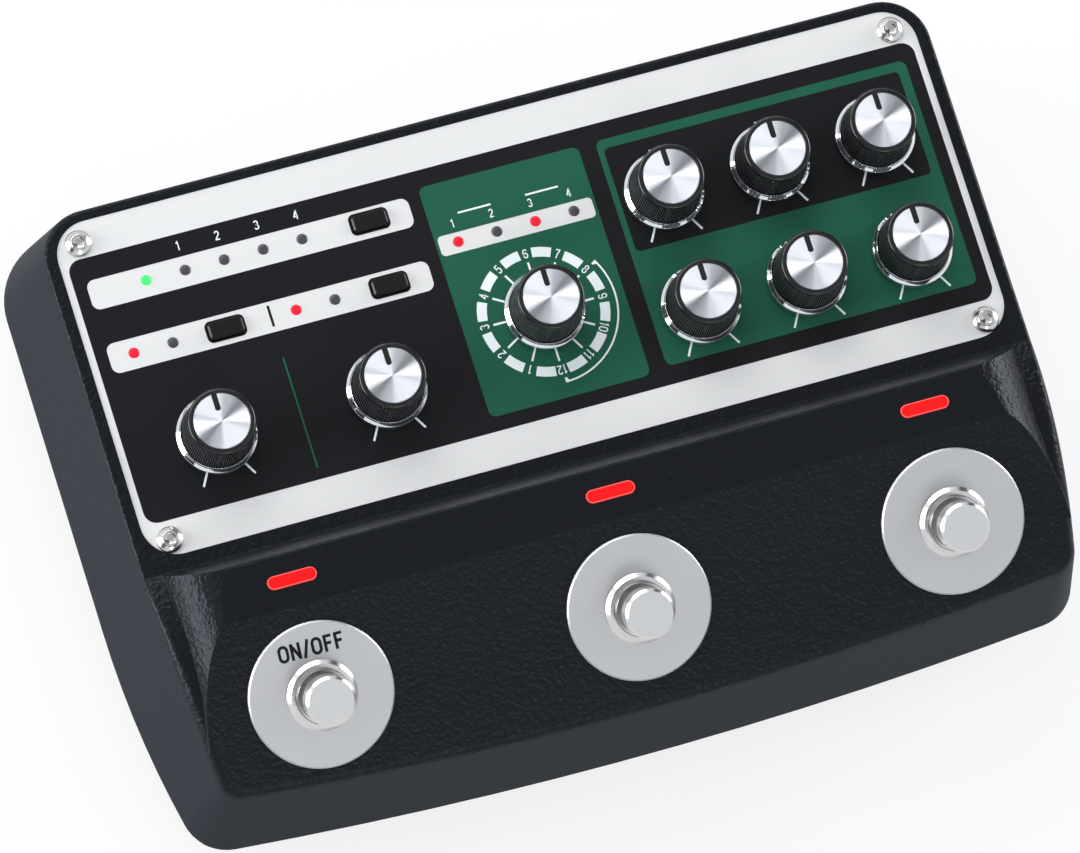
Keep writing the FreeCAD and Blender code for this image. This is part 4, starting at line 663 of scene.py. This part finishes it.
knob_low, knob_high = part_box("knob_bass")
cap_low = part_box("knob_bass_cap")[0]
ring_low, ring_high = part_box("knob_bass_ring")
KNOB_TOP = knob_high.z / MM - PLATE_TOP
STEM_END = knob_low.z / MM - PLATE_TOP
CAP_FLOOR = cap_low.z / MM - PLATE_TOP
RING_TOP = ring_high.z / MM - PLATE_TOP
KNOB_FOOT = ring_low.z / MM - PLATE_TOP
STEM_RADIUS, HOLLOW_RADIUS, SKIRT_RADIUS, RIM_RADIUS, CAP_WAY = 3.0, 5.95, 7.05, 6.6, 5.58
ROOF = KNOB_TOP - 3.0
RIM_DROP = 1.35
SIDE_TOP = KNOB_TOP - RIM_DROP
FLUTES, FLUTE_DEPTH, FLUTE_STEPS = 96, 0.16, 6
KNOB_PROFILE = [
    (0, STEM_END), (STEM_RADIUS, STEM_END), (STEM_RADIUS, ROOF), (HOLLOW_RADIUS, ROOF),
    (HOLLOW_RADIUS, KNOB_FOOT), (SKIRT_RADIUS, KNOB_FOOT), (SKIRT_RADIUS, RING_TOP + 0.02),
    (SKIRT_RADIUS - 0.02, RING_TOP + 0.12), (RIM_RADIUS - 0.08, SIDE_TOP - 0.12),
    (RIM_RADIUS - 0.1, SIDE_TOP - 0.04), (RIM_RADIUS - 0.02, SIDE_TOP), (RIM_RADIUS, SIDE_TOP + 0.08),
    (RIM_RADIUS, KNOB_TOP - 0.45), (RIM_RADIUS - 0.06, KNOB_TOP - 0.25), (RIM_RADIUS - 0.2, KNOB_TOP - 0.09),
    (RIM_RADIUS - 0.42, KNOB_TOP - 0.01), (RIM_RADIUS - 0.6, KNOB_TOP), (CAP_WAY + 0.06, KNOB_TOP),
    (CAP_WAY, KNOB_TOP - 0.06), (CAP_WAY, CAP_FLOOR), (0, CAP_FLOOR)]
FLUTED_LEVELS = (7, 8)
RIDGE_STEPS = (2, 3)


def flute_depth(level, angle):
    """How deep the flutes cut into the knob's side at an angle."""
    return FLUTE_DEPTH * (0.5 + 0.5 * math.cos(FLUTES * angle)) if level in FLUTED_LEVELS else 0


def on_ridge(level, step):
    """Whether a face lies on the crest between two flutes."""
    return level == FLUTED_LEVELS[0] and step % FLUTE_STEPS in RIDGE_STEPS


knob_form = turned(KNOB_PROFILE, FLUTE_STEPS * FLUTES, flute_depth, on_ridge)
POINTER_HALF_WIDTH, POINTER_START, POINTER_SINK = 0.54, 2.15, 0.05
bar = sheet_mesh([rounded(-POINTER_HALF_WIDTH, POINTER_START, POINTER_HALF_WIDTH, CAP_WAY + 0.4,
                          0.98 * POINTER_HALF_WIDTH)], CAP_FLOOR - 0.3, KNOB_TOP - POINTER_SINK)

# Gloss black ABS: deep black, with sharp lights on the rim and fine ones down the flutes.
gloss_abs = cloudy("gloss_black_abs", "101012", roughness=(0.16, 0.26), patch=1.5, detail=3.0,
                   shading={"IOR": 1.5, "Specular IOR Level": 0.5})

# The ridges between the flutes are a little rougher and painted light grey, a painted highlight that shows
# them as fine grey lines.
ridge_painted_highlight_abs = cloudy("abs_ridges_painted_highlight", "434347", roughness=(0.38, 0.5), patch=1.5, detail=3.0,
                   shading={"IOR": 1.5})

for name, (x, y) in KNOBS.items():
    knob_body = piece("knob_%s_body" % name, [knob_form, bar], gloss_abs, "knob_" + name,
                      ON_PLATE @ Matrix.Translation((x, y, 0)), smooth_angle=35)
    # The ridge faces take the light grey of the painted highlight.
    knob_body.data.materials.append(ridge_painted_highlight_abs)
    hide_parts("knob_" + name)

# Spun aluminium: bright, with turning lines finer than the eye can part, which draw the lights out into
# wedges that meet at the middle.
spun, tree = new_material("spun_aluminium")
lines = add(tree, "ShaderNodeTangent", direction_type="RADIAL", axis="Z")
place = add(tree, "ShaderNodeTexCoord").outputs["Object"]
drift = add(tree, "ShaderNodeTexNoise", {"Vector": place, "Scale": 1 / (3 * MM), "Detail": 2.0})
shade = add(tree, "ShaderNodeMapRange", {"Value": drift.outputs["Fac"], "To Min": 0.4, "To Max": 0.44})
shader = add(tree, "ShaderNodeBsdfPrincipled", {
    "Base Color": linear("eceef2"), "Metallic": 1.0, "Roughness": shade.outputs[0],
    "Anisotropic": 1.0, "Anisotropic Rotation": 0.25, "Tangent": lines.outputs[0]})
add(tree, "ShaderNodeOutputMaterial", {"Surface": shader.outputs[0]})
dress(spun, *("knob_%s_cap" % name for name in KNOBS))

# Chrome plate: a cool hard mirror.
chrome = cloudy("chrome_plate", "e6e8ea", roughness=(0.05, 0.1), patch=2, detail=2.0, shading=METAL)

# The ring's section: a low lip at the plate, an upright wall, a broad bevel and a thin round crest.
RING_PROFILE = [
    (7.09, 0.0), (7.92, 0.0), (8.0, 0.06), (8.0, 0.2), (7.95, 0.28), (7.95, 1.12), (7.92, 1.24),
    (7.84, 1.33), (7.37, 1.68), (7.33, 1.74), (7.31, 2.02), (7.28, 2.14), (7.2, 2.2), (7.13, 2.14),
    (7.1, 2.02), (7.09, 1.8), (7.09, 0.0)]
RING_SEGMENTS = 96
ring_form = turned([(radius, KNOB_FOOT + height) for radius, height in RING_PROFILE], RING_SEGMENTS)
for name, (x, y) in KNOBS.items():
    ring = piece("knob_%s_ring_plated" % name, [ring_form], chrome, "knob_" + name,
                 ON_PLATE @ Matrix.Translation((x, y, 0)), smooth_angle=50)
    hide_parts("knob_%s_ring" % name)

# Footswitches
# Three sprung footswitches stand square to the deck. A round nickel nut on the threaded barrel clamps a
# satin aluminium disc to the housing, and the left disc has its function printed behind the plunger.

# Satin aluminium: bead-blasted and clear anodised, an even silver-grey with a fine grain of 0.25 mm.
blasted = grained("satin_anodised_aluminium", "bababa", grain=0.25, depth=0.008, detail=2.0,
                  shading={"Metallic": 1.0, "Roughness": 0.46})
dress(blasted, "footswitch_discs")
dress(nickel, "footswitch_nuts", *("footswitch_%s_plunger" % side for side in ("left", "middle", "right")))
dress(nylon, "footswitch_bodies")

DECK_ANGLE = 23.7
DECK_Y, DECK_Z = -44.4, 50.3
DISC_THICKNESS = 0.9
SWITCHES = {}
for side in ("left", "middle", "right"):
    switch_low, switch_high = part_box("footswitch_%s_plunger" % side)
    SWITCHES[side] = (switch_low.x + switch_high.x) / 2 / MM


def on_deck(x):
    """Square to the deck at a footswitch."""
    return Matrix.Translation((x, DECK_Y, DECK_Z)) @ Matrix.Rotation(math.radians(DECK_ANGLE), 4, "X")


WORD_HEIGHT, WORD_REACH, WORD_PEN = 3.3, 9.5, 0.18
disc_film = [DISC_THICKNESS + level for level in BLACK_FILM]
disc_word = type_mesh("ON/OFF", WORD_HEIGHT, 0, WORD_REACH, 0, *disc_film, WORD_PEN)
piece("disc_print", [disc_word], black_ink, "chassis", on_deck(SWITCHES["left"]))

# The barrel's thread stands proud of the nut, one turn every 0.65 mm, drawn as rings.
THREAD_PITCH = 0.65
THREAD_RADIUS, THREAD_ROOT, THREAD_WAY = 5.48, 5.3, 4.15
THREAD_FOOT, THREAD_TURNS, THREAD_SEGMENTS = 2.35, 2, 72
thread_end = THREAD_FOOT + THREAD_TURNS * THREAD_PITCH
thread_profile = [(THREAD_WAY, THREAD_FOOT)]
for turn in range(THREAD_TURNS):
    height = THREAD_FOOT + turn * THREAD_PITCH
    thread_profile += [(THREAD_ROOT, height), (THREAD_RADIUS, height + 0.45 * THREAD_PITCH),
                       (THREAD_RADIUS, height + 0.6 * THREAD_PITCH)]
thread_profile += [(THREAD_ROOT, thread_end), (THREAD_WAY, thread_end), (THREAD_WAY, THREAD_FOOT)]
thread_form = turned(thread_profile, THREAD_SEGMENTS)
for side, x in SWITCHES.items():
    piece("footswitch_%s_thread" % side, [thread_form], nickel, "chassis", on_deck(x),
          smooth_angle=35)

# Pedal lamps
# A red light-pipe lens shows each footswitch's state. The three are pushed up through slots in the lamp
# band from below and lit by diodes under them.

BAND_ANGLE = 4.4
LAMP_Y = -22.7
LENS_HALF_LENGTH, LENS_HALF_WIDTH, LENS_RISE, LENS_BEVEL = 4.95, 1.32, 0.2, 0.1
END_STEPS = 12
lens_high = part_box("lamp_lenses")[1]
slope = math.radians(BAND_ANGLE)
BAND_Z = (lens_high.z / MM - LENS_RISE / math.cos(slope)
          - (LENS_HALF_WIDTH - LENS_BEVEL) * math.sin(slope))


def lozenge(shrink, height):
    """Ring of points round a bar with round ends, drawn in by some millimetres."""
    radius = LENS_HALF_WIDTH - shrink
    points = []
    for side in (1, -1):
        for step in range(END_STEPS + 1):
            angle = math.radians(-90 + 180 * step / END_STEPS) + (0 if side > 0 else math.pi)
            points.append((side * (LENS_HALF_LENGTH - LENS_HALF_WIDTH) + radius * math.cos(angle),
                           radius * math.sin(angle), height))
    return points


# Section of a lens as how far it is drawn in and its height; its paler edge, glow and painted highlight, is
# two steps of the bevel.
LENS_PROFILE = [(-0.6, -3.8), (-0.6, -3.0), (0.0, -3.0), (0.0, 0.02), (0.03, 0.1), (0.1, 0.16),
                (0.22, 0.19), (0.4, LENS_RISE)]
EDGE_LEVELS = (4, 5)
lens_form = lofted([lozenge(*level) for level in LENS_PROFILE], lambda level, step: level in EDGE_LEVELS,
                   capped=True)

# Tinted acrylic over a lit diode: it glows like the small lamps, and its cut edge glows paler, a painted
# highlight on top of the glow.
red_acrylic = glowing_epoxy("lit_red_acrylic", "7c0508", ("ee1014", "ff5a54"), 0.88)
acrylic_glow_painted_rim = glowing_epoxy("lit_acrylic_painted_rim_highlight", "8a1010", ("ff6e66", "ff9a94"), 0.8)
for side, x in SWITCHES.items():
    on_band = Matrix.Translation((x, LAMP_Y, BAND_Z)) @ Matrix.Rotation(slope, 4, "X")
    lens = piece("footswitch_%s_lamp" % side, [lens_form], red_acrylic, "chassis", on_band,
                 smooth_angle=40)
    # The bevel's faces take the paler glow with its painted highlight.
    lens.data.materials.append(acrylic_glow_painted_rim)
    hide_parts("lamp_lenses")

# Studio
# A pale floor, a white horizon that fades to a grey ceiling, and four soft lamps. Two black cards, which
# the camera sees only in mirrors, give the spun caps their dark wedges.

FLOOR_HALF = 4.0


def flat_card(name, half_width, half_height, material):
    """Flat rectangle in its own plane, for the floor and the cards."""
    mesh = bpy.data.meshes.new(name)
    mesh.from_pydata([(-half_width, -half_height, 0), (half_width, -half_height, 0),
                      (half_width, half_height, 0), (-half_width, half_height, 0)], [], [(0, 1, 2, 3)])
    mesh.materials.append(material)
    return bpy.data.objects.new(name, mesh)


def seen_straight(tree):
    """One for what the camera sees, straight, in a mirror or through glass, else zero."""
    path = add(tree, "ShaderNodeLightPath")
    seen = add(tree, "ShaderNodeMath", {0: path.outputs["Is Camera Ray"], 1: path.outputs["Is Glossy Ray"]},
               operation="MAXIMUM")
    seen = add(tree, "ShaderNodeMath", {0: seen.outputs[0], 1: path.outputs["Is Transmission Ray"]},
               operation="MAXIMUM")
    return seen.outputs[0]


# White paper floor: shows white itself and keeps the soft shadow below the object.
FLOOR_GLOW = 0.8
paper, tree = new_material("white_paper_floor")
share = add(tree, "ShaderNodeMath", {0: seen_straight(tree), 1: FLOOR_GLOW}, operation="MULTIPLY")
matt = add(tree, "ShaderNodeBsdfDiffuse", {"Color": linear("f4f4f4")})
white = add(tree, "ShaderNodeEmission", {"Color": linear("ffffff"), "Strength": 1.0})
both = add(tree, "ShaderNodeMixShader", {0: share.outputs[0], 1: matt.outputs[0], 2: white.outputs[0]})
add(tree, "ShaderNodeOutputMaterial", {"Surface": both.outputs[0]})
floor = flat_card("floor", FLOOR_HALF, FLOOR_HALF, paper)
bpy.context.scene.collection.objects.link(floor)

# Sky: white at the horizon, a grey ceiling above and a dimmer even light that falls on the object.
HORIZON_LIGHT = 1.0
CEILING_LIGHT = 0.6
ROOM_LIGHT = 0.66
FADE_START, FADE_END = 0.8, 0.96
world = bpy.data.worlds.new("studio")
bpy.context.scene.world = world
world.use_nodes = True
tree = world.node_tree
tree.nodes.clear()
direction = add(tree, "ShaderNodeSeparateXYZ", {0: add(tree, "ShaderNodeTexCoord").outputs["Generated"]})
fade = add(tree, "ShaderNodeMapRange", {
    "Value": direction.outputs["Z"], "From Min": FADE_START, "From Max": FADE_END,
    "To Min": HORIZON_LIGHT, "To Max": CEILING_LIGHT}, interpolation_type="SMOOTHSTEP")
level = add(tree, "ShaderNodeMix", {"Factor": seen_straight(tree), "A": ROOM_LIGHT, "B": fade.outputs[0]},
            data_type="FLOAT")
sky = add(tree, "ShaderNodeBackground", {"Color": linear("f2f6fc"), "Strength": level.outputs["Result"]})
add(tree, "ShaderNodeOutputWorld", {"Surface": sky.outputs[0]})

TARGET = Vector((0, 0, 0.04))


def facing_target(item, direction, distance):
    """Put a lamp or card at a distance in a direction, looking at the object."""
    item.location = TARGET + Vector(direction).normalized() * distance
    item.rotation_euler = Vector(direction).to_track_quat("Z", "Y").to_euler()
    item.visible_camera = False
    bpy.context.scene.collection.objects.link(item)


def softbox(name, direction, distance, width, height, watts):
    """Rectangular lamp, its sizes in metres."""
    lamp = bpy.data.lights.new(name, "AREA")
    lamp.shape = "RECTANGLE"
    lamp.size, lamp.size_y = width, height
    lamp.energy = watts
    facing_target(bpy.data.objects.new(name, lamp), direction, distance)


# Each lamp's direction from the object, distance, width, height and watts.
softbox("right_bank", (0.945, 0.2, 0.26), 1.8, 0.9, 0.8, 21)
softbox("left_bank", (-0.945, 0.2, 0.26), 2.0, 1.4, 1.0, 43)
softbox("rear_bank", (-0.15, 0.74, 0.65), 2.4, 2.0, 0.7, 24)
softbox("front_box", (0.0, -0.8, 0.6), 2.0, 0.5, 0.5, 4)

# Two black cards cut narrow dark gaps into what the spun caps show.
FIBRES_ACROSS = 40.0
black_card, tree = new_material("black_card")
fibres = add(tree, "ShaderNodeTexNoise", {"Scale": FIBRES_ACROSS})
shade = add(tree, "ShaderNodeMapRange", {"Value": fibres.outputs["Fac"], "To Min": 0.75, "To Max": 0.85})
shader = add(tree, "ShaderNodeBsdfPrincipled", {
    "Base Color": linear("0c0c0c"), "Roughness": shade.outputs[0]})
add(tree, "ShaderNodeOutputMaterial", {"Surface": shader.outputs[0]})
CARD_DISTANCE, CARD_ELEVATION, CARD_HALF_WIDTH, CARD_HALF_HEIGHT = 1.5, 38, 0.3, 0.7
CARD_AZIMUTHS = {"right_card": 35, "left_card": 201}
for name, azimuth in CARD_AZIMUTHS.items():
    turn, climb = math.radians(azimuth), math.radians(CARD_ELEVATION)
    facing_target(flat_card(name, CARD_HALF_WIDTH, CARD_HALF_HEIGHT, black_card),
                  (math.cos(climb) * math.cos(turn), math.cos(climb) * math.sin(turn), math.sin(climb)),
                  CARD_DISTANCE)

# Camera
# A long lens above the front left corner looks down on the object. Its place and its three directions are
# set outright.

CAMERA_PLACE = (-0.401423, -0.423491, 1.91027)
CAMERA_RIGHT = (0.94552, -0.297017, 0.133314)
CAMERA_UP = (0.255118, 0.930351, 0.263366)
CAMERA_BACK = (-0.202252, -0.215007, 0.95544)
FOCAL_LENGTH, SENSOR_WIDTH, FARTHEST = 335.6, 36.0, 50.0
camera_data = bpy.data.cameras.new("camera")
camera_data.lens = FOCAL_LENGTH
camera_data.sensor_width = SENSOR_WIDTH
camera_data.clip_end = FARTHEST
camera = bpy.data.objects.new("camera", camera_data)
turned_camera = Matrix((CAMERA_RIGHT, CAMERA_UP, CAMERA_BACK)).transposed().to_4x4()
camera.matrix_world = Matrix.Translation(CAMERA_PLACE) @ turned_camera
bpy.context.scene.collection.objects.link(camera)
bpy.context.scene.camera = camera
bpy.context.scene.view_settings.view_transform = "Standard"
